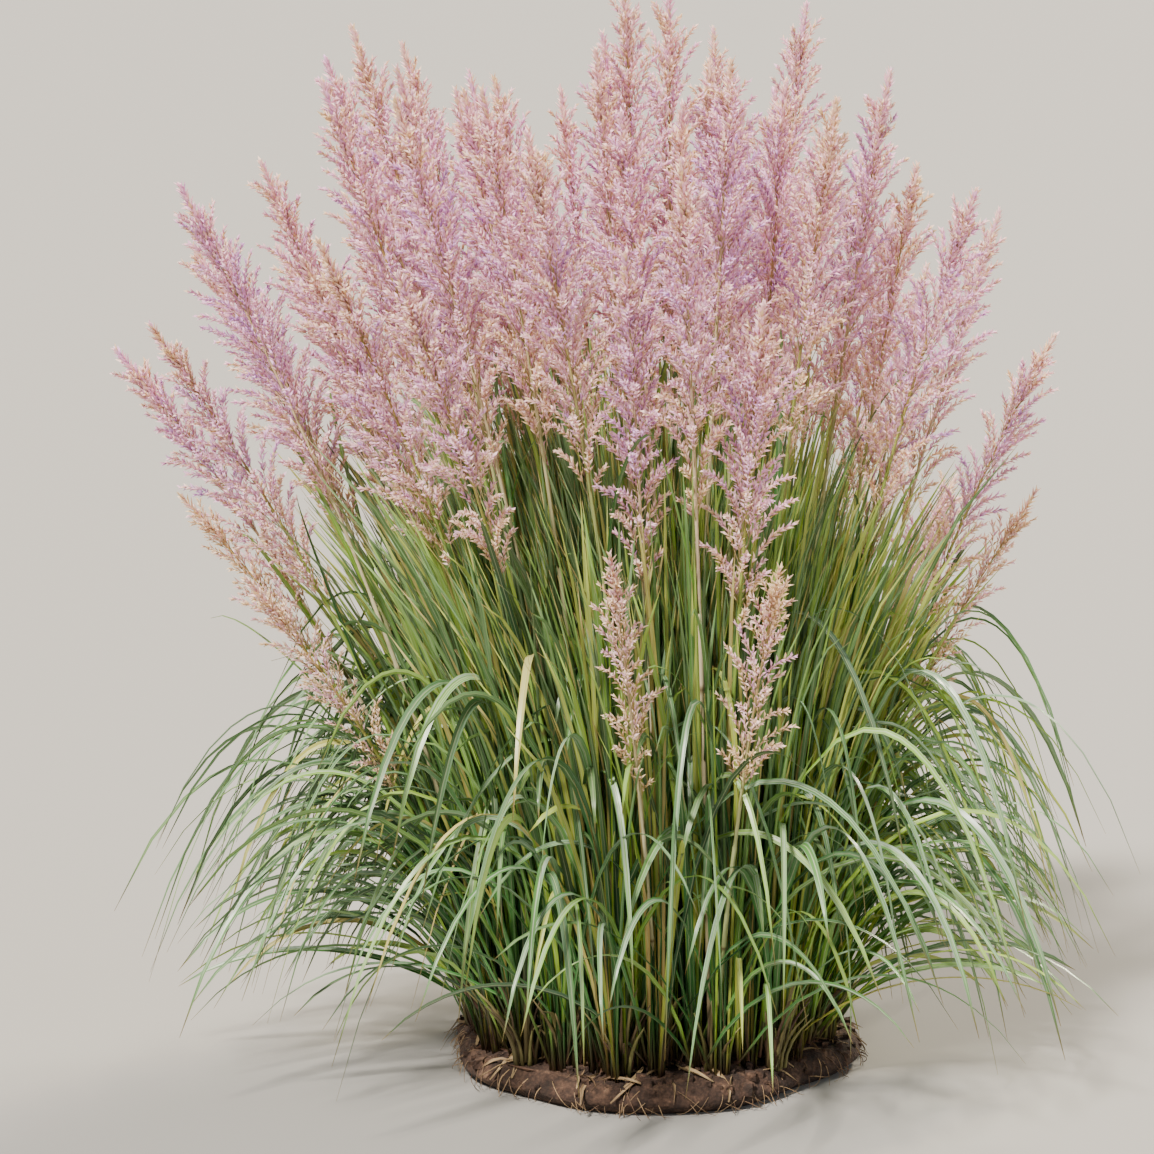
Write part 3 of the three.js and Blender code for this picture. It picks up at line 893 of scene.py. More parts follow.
@dataclass(frozen=True)
class BladeFinish(StrandFinish):
    """A ribbed leaf blade that light shines through.

    Its green runs from deep to yellow with the leaf's tint, and to straw in a withered one. It turns paler
    and yellower towards the tip. From its crest on, a pale silvery bloom lies on its veins. The bloom is
    partly a waxy tone and partly a painted highlight where the crest of the arch catches the light. It is
    thickest on middle greens and thin on dark, yellow and withered leaves. The midrib is pale, the foot
    purplish brown and the very tip scorched.
    """

    bloom_and_highlight: float
    tip_paling: float

    def make(self) -> bpy.types.Material:
        """The finished material."""
        material = new_material(self.name)
        tree = material.node_tree
        across, along, tint = self.places(tree)
        green = add(tree, "ValToRGB", {0: tint}, (
            (0.0, "#29522c"), (0.25, "#3a7036"), (0.45, "#538c45"), (0.6, "#7dab3c"), (0.78, "#a8c63c"),
            (0.9, "#bcb953"), (1.0, "#c0a566")))
        # Paler, yellower green towards the tip
        toward_tip = add(tree, "ValToRGB", {0: along}, ((0.3, 0.0), (0.85, self.tip_paling)))
        base = add(tree, "Mix", {0: toward_tip, 6: green, 7: "#bdd08c"}, data_type="RGBA")
        veins = self.streaks(tree, across=7.0, along=2.2, detail=2.0)
        pale = add(tree, "ValToRGB", {0: veins}, ((0.46, 0.0), (0.58, 1.0)))
        # Painted highlight: pale bloom from the crest of the arch on, where the blade catches the light,
        # partly a waxy tone
        crest = add(tree, "ValToRGB", {0: along}, (
            (0.25, 0.0), (0.5, self.bloom_and_highlight), (0.85, 0.9 * self.bloom_and_highlight), (1.0, 0.2 * self.bloom_and_highlight)))
        waxy = add(tree, "Math", {0: pale, 1: crest}, operation="MULTIPLY")
        own = add(tree, "ValToRGB", {0: tint}, ((0.18, 0.3), (0.4, 1.0), (0.56, 1.0), (0.72, 0.3)))
        bloom_and_highlight = add(tree, "Math", {0: waxy, 1: own}, operation="MULTIPLY")
        from_middle = add(tree, "Math", {0: across, 1: 0.5}, operation="SUBTRACT")
        aside = add(tree, "Math", {0: from_middle}, operation="ABSOLUTE")
        midrib = add(tree, "ValToRGB", {0: aside}, ((0.03, 0.55), (0.08, 0.0)))
        foot = add(tree, "ValToRGB", {0: along}, ((0.0, 1.0), (0.09, 0.0)))
        scorch = add(tree, "ValToRGB", {0: along}, ((0.95, 0.0), (1.0, 1.0)))
        # The pale silvery bloom colour is partly a waxy tone and partly a painted highlight
        layers = ((bloom_and_highlight, "#b9c6bd"), (midrib, "#c3cba0"), (foot, "#6d4f43"), (scorch, "#b89c63"))
        for where, colour in layers:
            base = add(tree, "Mix", {0: where, 6: base, 7: colour}, data_type="RGBA")
        self.close(tree, base, veins, 0.25)
        return material


@dataclass(frozen=True)
class DryFinish(StrandFinish):
    """Withered leaf, sheath or root fibre, dull: from its light to its dark colour, with darker streaks."""

    light: str
    dark: str

    def make(self) -> bpy.types.Material:
        """The finished material."""
        material = new_material(self.name)
        tree = material.node_tree
        _, _, tint = self.places(tree)
        base = add(tree, "ValToRGB", {0: tint}, ((0.0, self.dark), (1.0, self.light)))
        streak = self.streaks(tree, across=6.0, along=3.0, detail=4.0)
        shade = add(tree, "ValToRGB", {0: streak}, ((0.35, 0.45), (0.65, 1.0)))
        base = add(tree, "Mix", {0: 0.9, 6: base, 7: shade}, data_type="RGBA", blend_type="MULTIPLY")
        self.close(tree, base, streak, 0.3)
        return material


@dataclass(frozen=True)
class SoilFinish:
    """Moist garden loam: clods of several browns, pits between its crumbs darkened with painted shade, no
    sheen at all.
    """

    name: str
    crumb: float
    clod: float
    roughness: float
    depth: float

    def make(self) -> bpy.types.Material:
        """The finished material."""
        material = new_material(self.name)
        tree = material.node_tree
        place = add(tree, "TexCoord").outputs["Object"]
        clods = add(tree, "TexNoise", {
            "Vector": place, "Scale": 1 / (self.clod * METRES), "Detail": 6.0, "Roughness": 0.7})
        crumbs = add(tree, "TexVoronoi", {"Vector": place, "Scale": 1 / (self.crumb * METRES)})
        brown = add(tree, "ValToRGB", {0: clods.outputs["Fac"]}, (
            (0.3, "#1f140e"), (0.48, "#3e2b21"), (0.6, "#5f4637"), (0.72, "#876a53")))
        # Painted shade: the pits between crumbs are darkened, and the same pattern deepens them in the bump
        pit_depth_and_shade = add(tree, "ValToRGB", {0: crumbs.outputs["Distance"]}, ((0.0, 1.0), (0.8, 0.45)))
        base = add(tree, "Mix", {0: 0.8, 6: brown, 7: pit_depth_and_shade}, data_type="RGBA", blend_type="MULTIPLY")
        height = add(tree, "Math", {0: clods.outputs["Fac"], 1: pit_depth_and_shade}, operation="ADD")
        bump = add(tree, "Bump", {"Height": height, "Distance": self.depth * METRES})
        surface = add(tree, "BsdfPrincipled", {
            "Base Color": base, "Roughness": self.roughness, "Normal": bump})
        add(tree, "OutputMaterial", {"Surface": surface})
        return material


FINISHES: dict[Finish, bpy.types.Material] = {kind: finish.make() for kind, finish in {
    # Paper: dull, and the thinnest, so much light comes through
    Finish.HUSK: HuskFinish("panicle_husk", roughness=0.6, through=0.35),
    # Smooth straw: a soft highlight down its length, nearly opaque
    Finish.CULM: CulmFinish("reed_culm", roughness=0.45, through=0.1, nodes_at=CULM_NODES),
    # Slender upright leaf: thin, paler towards the tip, with little bloom and little painted highlight on its
    # crest
    Finish.BLADE: BladeFinish("leaf_blade", roughness=0.42, through=0.45, bloom_and_highlight=0.24, tip_paling=0.22),
    # Broad arching leaf: thicker and shinier from the wax on it, and silvery from a strong bloom that is
    # partly a painted highlight on its crest
    Finish.WAXY: BladeFinish("waxy_leaf_blade", roughness=0.32, through=0.24, bloom_and_highlight=0.7, tip_paling=0.1),
    # Dead leaf: matt and brittle
    Finish.DRY: DryFinish("dry_leaf", roughness=0.7, through=0.2, light="#c4a87c", dark="#6b4b3a"),
    # Sheath at a shoot's base: tough, from olive to purplish brown
    Finish.SHEATH: DryFinish("basal_sheath", roughness=0.6, through=0.1, light="#86844c", dark="#5c4034"),
    # Root: matt and woody
    Finish.ROOT: DryFinish("fibrous_root", roughness=0.75, through=0.1, light="#b99a72", dark="#5b4030"),
    # Soil: crumbs of 5 mm and clods of 24 mm
    Finish.SOIL: SoilFinish("garden_loam", crumb=5.0, clod=24.0, roughness=0.95, depth=2.5),
}.items()}


# --- Panicles and culms ---------------------------------------------------------------------------------


@dataclass(frozen=True)
class Panicle:
    """A feathery panicle: whorls of rising branches set with pointed husks, and a slender spike on top."""

    stem: Stem
    seed: int

    # Whorls of branches: shares of the axis, of the reach and of the lift, and radii in millimetres
    whorl_spacing: float = 23.5
    fewest_whorls: int = 8
    branches_per_whorl: int = 4
    whorl_scatter: float = 0.8
    whorls_start: float = -0.2
    whorls_end: float = 0.86
    whorl_crowding: float = 0.8
    branch_turn: float = 0.25
    branch_size: Pair = (0.6, 1.14)
    branch_lift: Pair = (0.95, 1.4)
    branch_knee: Pair = (0.3, 0.72)
    branch_sag: float = 0.2
    branch_radius: Pair = (0.6, 0.3)
    trailing_loss: float = 0.55
    trailing_lift: float = 1.3
    top_lift: Pair = (0.25, 0.75)
    spike_start: float = 0.76
    spike_spacing: float = 2.5
    spike_husk_growth: float = 1.4

    # Husks: sizes in millimetres, their lean in degrees, and their scatter
    husk_length: float = 11.8
    husk_width: float = 3.7
    husk_thickness: float = 1.9
    husk_corners: Pair = (0.36, 0.6)
    husk_stand_off: float = 0.4
    husk_lean: Pair = (27.0, 40.0)
    husk_size: Pair = (0.8, 1.2)
    husk_spread: Pair = (0.8, 1.15)
    husk_turn: float = 0.25
    husk_roll: float = 0.35
    tip_loss: float = 0.2
    tip_closing: float = 0.6

    # Nodes along a branch, from the end of its bare foot
    husks_per_node: int = 2
    node_spacing: float = 4.7
    node_range: tuple[int, int] = (4, 60)
    node_start: float = 0.8
    node_scatter: float = 0.35
    bare_share: float = 0.24
    least_place: float = 0.04

    # How a panicle on a low stem differs
    low_slimness: float = 0.82
    low_thinning: float = 1.35
    low_ripeness: float = 0.22

    # Tints, from 0 for violet to 1 for straw
    middle_tint: float = 0.34
    own_tint: Pair = (-0.1, 0.12)
    top_ripeness: float = 0.46
    top_starts: float = 0.55
    foot_ripeness: float = 0.36
    foot_ends: float = 0.28
    ripening_span: float = 0.45
    straw_share: float = 0.14
    straw_tint: float = 0.4
    branch_tint: float = 0.1
    husk_tint: float = 0.13

    @property
    def is_low(self) -> bool:
        """Whether it stands on one of the short stems, where it is slimmer, thinner set and riper."""
        return self.stem.share < 1

    @property
    def length(self) -> float:
        """Length of the panicle."""
        return self.stem.length * (1 - self.stem.neck)

    @property
    def thinning(self) -> float:
        """How far apart its whorls and husks stand, beside those of a full stem's panicle."""
        return self.low_thinning if self.is_low else 1.0

    def axis(self, share: np.ndarray) -> tuple[np.ndarray, ...]:
        """Points on the axis at shares of its curve, the way it rises and two ways square to it."""
        points, rise = bezier(self.stem.control, self.stem.neck + (1 - self.stem.neck) * share)
        across = unit(np.array([1.0, 0, 0]) - rise * rise[..., :1])
        return points, rise, across, np.cross(rise, across)

    def branches(self, rng: np.random.Generator) -> tuple[np.ndarray, np.ndarray, np.ndarray]:
        """Curves of the branches, the last of them the spike itself.

        The whorls crowd a little towards the top, and some trail below the neck. A branch ends as far out as
        the outline, (1 - share) to the taper times (1 + belly times share) times the reach. It is shorter
        where it trails and slimmer on a low stem. It rises about 1.6 times as far as it goes out, more where
        it trails, and steeper still towards the top, by shares of its place and of its cube. Its tip sags
        with the square of its place from the top.

        Args:
            rng: the panicle's random numbers.

        Returns:
            Control points (branches, 3, 3), the ways across them (branches, 3) and their shares of the axis.
        """
        span = self.whorls_end - self.whorls_start
        whorls = max(self.fewest_whorls, round(self.length * span / self.whorl_spacing / self.thinning))
        whorl = np.repeat(np.arange(whorls), self.branches_per_whorl)
        member = np.tile(np.arange(self.branches_per_whorl), whorls)
        count = len(whorl)
        order = (whorl + rng.uniform(0, self.whorl_scatter, count)) / whorls
        share = self.whorls_start + span * order ** self.whorl_crowding
        trailing = np.clip(share / self.whorls_start, 0, 1)
        point, rise, across, beyond = self.axis(share)
        angle = whorl * GOLDEN_ANGLE + member * 2 * np.pi / self.branches_per_whorl
        angle = angle + rng.normal(0, self.branch_turn, count)
        outward = across * np.cos(angle)[:, None] + beyond * np.sin(angle)[:, None]
        outline = (1 - share) ** PLUME_TAPER * (1 + PLUME_BELLY * share) * (1 - self.trailing_loss * trailing)
        slimness = self.low_slimness if self.is_low else 1.0
        reach = (self.stem.reach * slimness * outline * rng.uniform(*self.branch_size, count))[:, None]
        steeper = 1 + self.top_lift[0] * share + self.top_lift[1] * share**3
        lift = SPIKE_RISE * rng.uniform(*self.branch_lift, (count, 1)) * steeper[:, None] / slimness
        lift *= 1 + self.trailing_lift * trailing[:, None]
        sag = UP * self.branch_sag * reach * (1 - share)[:, None] ** 2
        knee_out, knee_up = self.branch_knee
        middle = point + outward * knee_out * reach + rise * knee_up * lift * reach
        end = point + outward * reach + rise * lift * reach - sag
        spike, _, spike_across, _ = self.axis(np.linspace(self.spike_start, 1, 3))
        control = np.concatenate([np.stack([point, middle, end], 1), spike[None]])
        side = np.concatenate([np.cross(rise, outward), spike_across[:1]])
        return control, side, np.append(share, self.spike_start)

    def husk_places(self, rng: np.random.Generator, control: np.ndarray,
                    share: np.ndarray) -> tuple[np.ndarray, ...]:
        """Where husks sit: pairs at even nodes from the end of a branch's bare foot to its tip.

        Args:
            rng: the panicle's random numbers.
            control: the branches' control points, the spike's last.
            share: the branches' shares of the axis.

        Returns:
            Each husk's branch, its node's number, its place along the branch, and whether it is on the spike.
        """
        run = np.linalg.norm(control[:, 2] - control[:, 0], axis=1)
        on_spike = np.arange(len(run)) == len(run) - 1
        bare = np.where(on_spike, 0.0, self.bare_share * (1 - share))
        spacing = np.where(on_spike, self.spike_spacing, self.node_spacing) * self.thinning
        nodes = np.clip(np.rint(run * (1 - bare) / spacing), *self.node_range).astype(int)
        branch = np.repeat(np.arange(len(run)), nodes)
        order = np.arange(len(branch)) - np.repeat(np.cumsum(nodes) - nodes, nodes)
        at = (order + self.node_start) / nodes[branch]
        branch, order, at = (np.repeat(each, self.husks_per_node) for each in (branch, order, at))
        aside = rng.uniform(-self.node_scatter, self.node_scatter, len(branch))
        at = np.clip(at + aside / nodes[branch], self.least_place, 1.0)
        return branch, order, bare[branch] + (1 - bare[branch]) * at, on_spike[branch]

    def husks(self, rng: np.random.Generator, control: np.ndarray, side: np.ndarray, share: np.ndarray,
              shift: float) -> Patch:
        """Husks in pairs along every branch, each pair crossing the next, and each husk a slim tetrahedron.

        A husk leans off the branch, less so at its tip, and runs from its base along its own way for its
        length. Two corners stand out to its sides, one nearer its base and one nearer its tip, both set
        higher than the line from base to tip. Its tint is violet in the middle of the panicle, riper at its
        top and foot, and straw for a few.

        Args:
            rng: the panicle's random numbers.
            control: the branches' control points, the spike's last.
            side: the ways across the branches.
            share: the branches' shares of the axis.
            shift: the panicle's own change of tint.

        Returns:
            The husks as a patch.
        """
        branch, order, at, on_spike = self.husk_places(rng, control, share)
        count = len(branch)
        member = np.arange(count) % self.husks_per_node
        point, tangent = bezier(control[branch], at)
        across = unit(side[branch] - tangent * np.sum(side[branch] * tangent, -1, keepdims=True))
        over = np.cross(tangent, across)
        angle = (order * np.pi / 2 + member * np.pi + rng.normal(0, self.husk_turn, count))[:, None]
        radial = across * np.cos(angle) + over * np.sin(angle)
        lean = np.radians(rng.uniform(*self.husk_lean, count) * (1 - self.tip_closing * at**10))[:, None]
        way = tangent * np.cos(lean) + radial * np.sin(lean)
        flat = np.cross(way, radial)
        roll = rng.normal(0, self.husk_roll, (count, 1))
        flat = unit(flat * np.cos(roll) + np.cross(way, flat) * np.sin(roll))
        out = np.cross(way, flat)
        growth = np.where(on_spike, self.spike_husk_growth, 1.0)
        length = self.husk_length * growth * rng.uniform(*self.husk_size, count)
        length = (length * (1 - self.tip_loss * at**3))[:, None]
        half = self.husk_width / 2 * rng.uniform(*self.husk_spread, (count, 1))
        half = half * growth[:, None] / self.thinning
        base = point + radial * self.husk_stand_off
        first, second = self.husk_corners
        left = base + way * first * length + flat * half + out * self.husk_thickness
        right = base + way * second * length - flat * half + out * self.husk_thickness
        corners = np.stack([base, left, right, base + way * length], 1).reshape(-1, 3)
        faces = np.array([[0, 2, 1], [0, 1, 3], [0, 3, 2], [1, 2, 3]])
        tris = (np.arange(count)[:, None, None] * 4 + faces).reshape(-1, 3)
        across_husk = [0.5, 0.0, 1.0, 0.5]
        own = np.stack([across_husk, across_husk, [0.0, first, second, 1.0]], -1)
        top = np.clip((share[branch] - self.top_starts) / self.ripening_span, 0, 1) * (0.5 + 0.5 * at)
        low = np.clip((self.foot_ends - share[branch]) / self.ripening_span, 0, 1)
        own_branch = rng.normal(0, self.branch_tint, len(control))[branch]
        ripe = self.top_ripeness * top + self.foot_ripeness * low + own_branch
        straw = np.where(rng.uniform(0, 1, count) < self.straw_share, self.straw_tint, 0.0)
        own_tint = rng.normal(0, self.husk_tint, count)
        tint = np.clip(self.middle_tint + shift + ripe + straw + own_tint, 0, 1)
        return Patch(corners, tris, np.zeros((0, 4), int), np.tile(own[faces], (count, 1, 1)),
                     np.zeros((0, 4, 3)), np.repeat(tint, 4), np.repeat(np.arange(count), 4),
                     np.zeros(count * 4, int), Finish.HUSK, Sharing.BY_TINT, False)

    def patches(self) -> list[Patch]:
        """The branches and the husks."""
        rng = np.random.default_rng(self.seed)
        control, side, share = self.branches(rng)
        shift = rng.uniform(*self.own_tint) + (self.low_ripeness if self.is_low else 0.0)
        stalks = Spine.on(control[:-1], np.array([0.0, 0.5, 1.0]), side[:-1])
        stalks.along = CULM_SHARE + (1 - CULM_SHARE) * stalks.along
        radii = np.linspace(*self.branch_radius, 3)[None]
        tint = rng.uniform(0.1, 0.9, len(side) - 1)
        twigs = sweep(stalks, Section.round(3), radii, radii, tint, Finish.CULM, Sharing.BY_TINT)
        return [twigs, self.husks(rng, control, side, share, shift)]


@dataclass(frozen=True)
class BasalShoots:
    """The foot of a shoot or tuft: a bundle of sheathed shoot bases that part as they rise."""

    radius: float
    count: int = 11
    foot_height: float = 34.0
    rise: Pair = (50.0, 110.0)
    parting: float = 0.12
    outward: float = 0.25
    thickness: Pair = (2.2, 3.4)
    taper: tuple[float, ...] = (1.15, 1.0, 0.86, 0.6, 0.2)

    def patch(self, site: Site, rng: np.random.Generator) -> Patch:
        """The bases: on a sunflower spiral, upright at the foot, then leaning apart and outwards.

        Args:
            site: where they stand.
            rng: random numbers.

        Returns:
            The bases as a patch.
        """
        order = np.arange(self.count)
        out = self.radius * np.sqrt((order + 0.5) / self.count)
        way = level(order * GOLDEN_ANGLE + rng.uniform(0, 6))
        rise = rng.uniform(*self.rise, (self.count, 1))
        foot = site.place + way * out[:, None] + UP * self.foot_height
        spread = way * (self.parting + self.outward * site.out) + level(site.bearing, self.outward * site.out)
        control = np.stack([foot, foot + UP * rise * 0.5, foot + UP * rise + spread * rise], 1)
        stations = np.linspace(0, 1, len(self.taper))
        spine = Spine.on(control, stations, np.roll(way, 1, axis=1) + UP * 0.1)
        wide = rng.uniform(*self.thickness, (self.count, 1)) * np.array(self.taper)
        return sweep(spine, Section.round(5), wide, wide, rng.uniform(0, 1, self.count), Finish.SHEATH)


@dataclass
class FloweringShoot:
    """Three culms from one foot, each with nodes, wrapping sheaths and a panicle."""

    site: Site
    culm_sides: int = 6
    even_stations: int = 19
    node_half: float = 0.005
    node_reach: float = 0.012
    node_swelling: float = 0.45
    sheath_share: float = 0.09
    sheath_edge: float = 0.002
    sheath_swelling: float = 0.22
    sunk: float = 26.0
    axis_tip_radius: float = 0.35
    foot: BasalShoots = BasalShoots(11.5)
    stems: list[Stem] = field(default_factory=list)

    def grow(self) -> None:
        """Finds the stems that the frame kept."""
        for member in range(STEMS_PER_SHOOT):
            stem = kept(self.site, member, STEM_SEED, STEM_TRIES, draw_stem)
            if stem is None:
                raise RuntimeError(f"no stem {member} in {self.site.node}")
            self.stems.append(stem)

    def culm(self, stem: Stem, tint: float) -> Patch:
        """One culm with the panicle's axis.

        Its radius narrows to the neck and on to the tip, swells by a bell curve at each node and is a step
        wider above a node, as far as a sheath wraps it.

        Args:
            stem: the stem's curve.
            tint: its own shade.

        Returns:
            The culm as a patch.
        """
        nodes = np.array(CULM_NODES)
        sheath_end = nodes + self.sheath_share
        steps = (-self.node_reach, -self.node_half, 0, self.node_half, self.node_reach)
        near = [nodes + step for step in steps]
        even = np.linspace(0, 1, self.even_stations)
        along = np.unique(np.concatenate([even, *near, sheath_end, sheath_end + self.sheath_edge]))
        at = np.interp(along, [0, CULM_SHARE, 1], [0, stem.neck, 1])
        spine = Spine.on(stem.control[None], at[None], np.array([[1.0, 0, 0]]))
        spine.along = along[None]
        spine.points[:, 0, 2] -= self.sunk
        ends = [STEM_BASE_RADIUS, STEM_NECK_RADIUS, self.axis_tip_radius]
        radius = np.interp(along, [0, CULM_SHARE, 1], ends)
        bell = np.exp(-(((along[:, None] - nodes) / self.node_half) ** 2)).sum(1)
        wrapped = (along[:, None] > nodes) & (along[:, None] <= sheath_end + self.sheath_edge / 4)
        swollen = 1 + self.node_swelling * bell + self.sheath_swelling * wrapped.any(1)
        radius = (radius * swollen)[None]
        return sweep(spine, Section.round(self.culm_sides), radius, radius, np.array([tint]), Finish.CULM)

    def build(self) -> None:
        """Makes the shoot's piece, which stands for its node."""
        rng = np.random.default_rng(STEM_SEED + self.site.index)
        bundle = Bundle(f"{self.site.node}_panicles", "plume")
        for member, stem in enumerate(self.stems):
            bundle.add(self.culm(stem, rng.uniform(0.1, 0.9)))
            own_seed = STEM_SEED + self.site.index * SEEDS_PER_SITE + member
            bundle.add(*Panicle(stem, own_seed).patches())
        bundle.add(self.foot.patch(self.site, rng))
        bundle.make(self.site.node)


# --- Leaves ---------------------------------------------------------------------------------------------


@dataclass
class Blades:
    """A set of leaf blades: curves, ways across, greatest widths, shades and how far each turns."""

    control: np.ndarray
    side: np.ndarray
    width: np.ndarray
    tint: np.ndarray
    turn: np.ndarray

    def within_box(self) -> np.ndarray:
        """The curves, drawn in where a tip would pass the box's margin, with no tip in the ground.

        A leaf that would pass the margin is drawn in to it, and by up to a quarter more with its tint, so
        that the tips don't end in one line.
        """
        low, high = (np.array(corner)[:2] / METRES for corner in CAD_BOX)
        foot = self.control[:, :1, :2]
        run = self.control[:, -1, :2] - foot[:, 0]
        room = np.where(run > 0, high + BOX_MARGIN - foot[:, 0], foot[:, 0] - low + BOX_MARGIN)
        share = np.min(room / np.maximum(np.abs(run), 1.0), axis=1)
        share = np.where(share < 1, share * (1 - 0.25 * self.tint), 1.0)
        control = self.control.copy()
        control[..., :2] = foot + (control[..., :2] - foot) * share[:, None, None]
        control[:, -1, 2] = np.maximum(control[:, -1, 2], GROUND_CLEARANCE)
        return control

    def patch(self, stations: int, section: Section, finish: Finish = Finish.BLADE,
              thickness: float = SLENDER_THICKNESS) -> Patch:
        """The blades as strips that widen from the foot and narrow to a fine tip.

        Stations are even but for a sine wave that draws them together round the crest, where a blade bends
        most. The midrib thins evenly to a quarter at the tip.

        Args:
            stations: how many sections each has.
            section: their section.
            finish: what they are.
            thickness: depth of the midrib at the foot.

        Returns:
            The patch.
        """
        even = np.linspace(0, 1, stations)
        wave = np.sin(2 * np.pi * (even - CREST)) + np.sin(2 * np.pi * CREST)
        at = even - CREST_CROWDING / (2 * np.pi) * wave
        spine = Spine.on(self.within_box(), at, self.side, self.turn)
        half = self.width[:, None] / 2 * np.interp(at, BLADE_STATIONS, BLADE_WIDTHS)
        depth = thickness * (1 - 0.75 * at)
        return sweep(spine, section, half, depth[None], self.tint, finish)


def rolled(rng: np.random.Generator, heading: np.ndarray) -> np.ndarray:
    """Ways across leaves that head somewhere: level and square to that, then rolled to either side."""
    roll = rng.uniform(-1.0, 1.0, len(heading))[:, None]
    return np.cross(UP, level(heading)) * np.cos(roll) + UP * np.sin(roll)


def sideways(rng: np.random.Generator, bearing: np.ndarray, aside: np.ndarray) -> np.ndarray:
    """Headings of bowed leaves: they turn aside from the way out, mostly towards the clump's nearer side.

    The turn is full in front and behind, where the way out has no X, and a quarter of that at the two sides.

    Args:
        rng: random numbers.
        bearing: the ways out, in radians.
        aside: how far each may turn, in radians.

    Returns:
        The headings, in radians.
    """
    nearer = -np.sign(np.sin(2 * bearing))
    turned = np.where(rng.uniform(0, 1, len(bearing)) < 0.5 + 0.4 * np.abs(np.cos(bearing)), nearer, -nearer)
    return bearing + turned * aside * (0.25 + 0.75 * np.abs(np.sin(bearing)))


@dataclass(frozen=True)
class Shades:
    """Shades of leaves, from 0 for the deepest green to 1 for straw: most are green, a few have withered.

    The green ones are painted yellower on the clump's +X side, as painted sunlight falling on that side.
    """

    middle: float
    spread: float
    withered: float = 0.035
    # How much yellower green leaves are painted on the +X side, as painted sunlight
    painted_sun_yellowing: float = 0.2
    most_green: float = 0.85
    least_withered: float = 0.9

    def draw(self, rng: np.random.Generator, count: int, bearing: np.ndarray | float = np.pi) -> np.ndarray:
        """Draws shades.

        Args:
            rng: random numbers.
            count: how many leaves.
            bearing: the way from the clump's middle to the leaves, in radians.

        Returns:
            Shades from 0 to 1.
        """
        green = np.clip(rng.normal(self.middle, self.spread, count), 0, self.most_green)
        is_green = rng.uniform(0, 1, count) >= self.withered
        dry = rng.uniform(self.least_withered, 1.0, count)
        # Painted sunlight: green leaves towards +X are shifted to yellower shades
        painted_sunlit_green = green + self.painted_sun_yellowing * np.clip(np.cos(bearing), 0, 1)
        return np.where(is_green, np.minimum(painted_sunlit_green, self.most_green), dry)


@dataclass(frozen=True)
class Spot:
    """Where leaves grow: the place, how far out as a share of the clump's radius, and the way out."""

    place: np.ndarray
    out: float
    bearing: float


@dataclass(frozen=True)
class UprightLeaves:
    """Slender leaves that stand up among the culms, lean outwards with them and bend over a little."""

    bend: Pair = SLIGHT_BEND
    ring: Pair = (2.0, 12.0)
    rise: tuple[float, float, float] = (440.0, 920.0, 1060.0)
    rim_loss: float = 0.25
    lean: Pair = (0.2, 0.78)
    lean_scatter: float = 1.5
    least_lean: float = 1.0
    drift: float = 14.0
    leftwards: float = 0.45
    width: Pair = (3.6, 6.8)
    first_bend: Pair = (0.16, 0.4)
    second_bend: Pair = (0.56, 0.8)
    tip: Pair = (1.15, 0.95)
    shades: Shades = Shades(0.4, 0.33, 0.12)

    def draw(self, rng: np.random.Generator, count: int, spot: Spot, base: float) -> Blades:
        """Draws leaves.

        A leaf leans by a part of the rim's lean times its place out. Its bends and its tip stand at shares of
        its reach and of its rise, and the tip comes down by the bend times the square of that lean. All lean
        to the left with the clump.

        Args:
            rng: random numbers.
            count: how many.
            spot: where they grow.
            base: height of their foot.

        Returns:
            The blades.
        """
        apart = level(rng.uniform(0, 2 * np.pi, count), rng.uniform(*self.ring, count))
        foot = spot.place + apart + UP * base
        heading = spot.bearing + rng.normal(0, 0.25 + 0.9 * (1 - spot.out), count)
        rise = rng.triangular(*self.rise, count) * (1 - self.rim_loss * spot.out)
        share = rng.uniform(*self.lean, count)
        lean = np.abs(RIM_LEAN * spot.out * share + rng.normal(0, self.lean_scatter, count)) + self.least_lean
        arched = (np.clip(lean / RIM_LEAN, 0, 1.1) ** 2 * rng.uniform(*self.bend, count))[:, None]
        reach = (rise * np.tan(np.radians(lean)))[:, None]
        rise = rise[:, None]
        ahead = level(heading)
        drift = np.cross(UP, ahead) * rng.normal(0, self.drift, count)[:, None]
        left = np.array([-math.tan(math.radians(LEFT_LEAN)), 0, 0]) * rise * self.leftwards
        (out_1, up_1), (out_2, up_2), (out_3, up_3) = self.first_bend, self.second_bend, self.tip
        first = foot + ahead * out_1 * reach + UP * up_1 * rise
        second = foot + ahead * out_2 * reach + drift / 2 + UP * (up_2 + 0.15 * arched) * rise + left * 0.6
        last = foot + ahead * out_3 * reach + drift + UP * (up_3 - arched) * rise + left
        across = level(rng.uniform(0, 2 * np.pi, count))
        return Blades(np.stack([foot, first, second, last], 1), across, rng.uniform(*self.width, count),
                      self.shades.draw(rng, count, spot.bearing), rng.normal(0, 0.7, count))


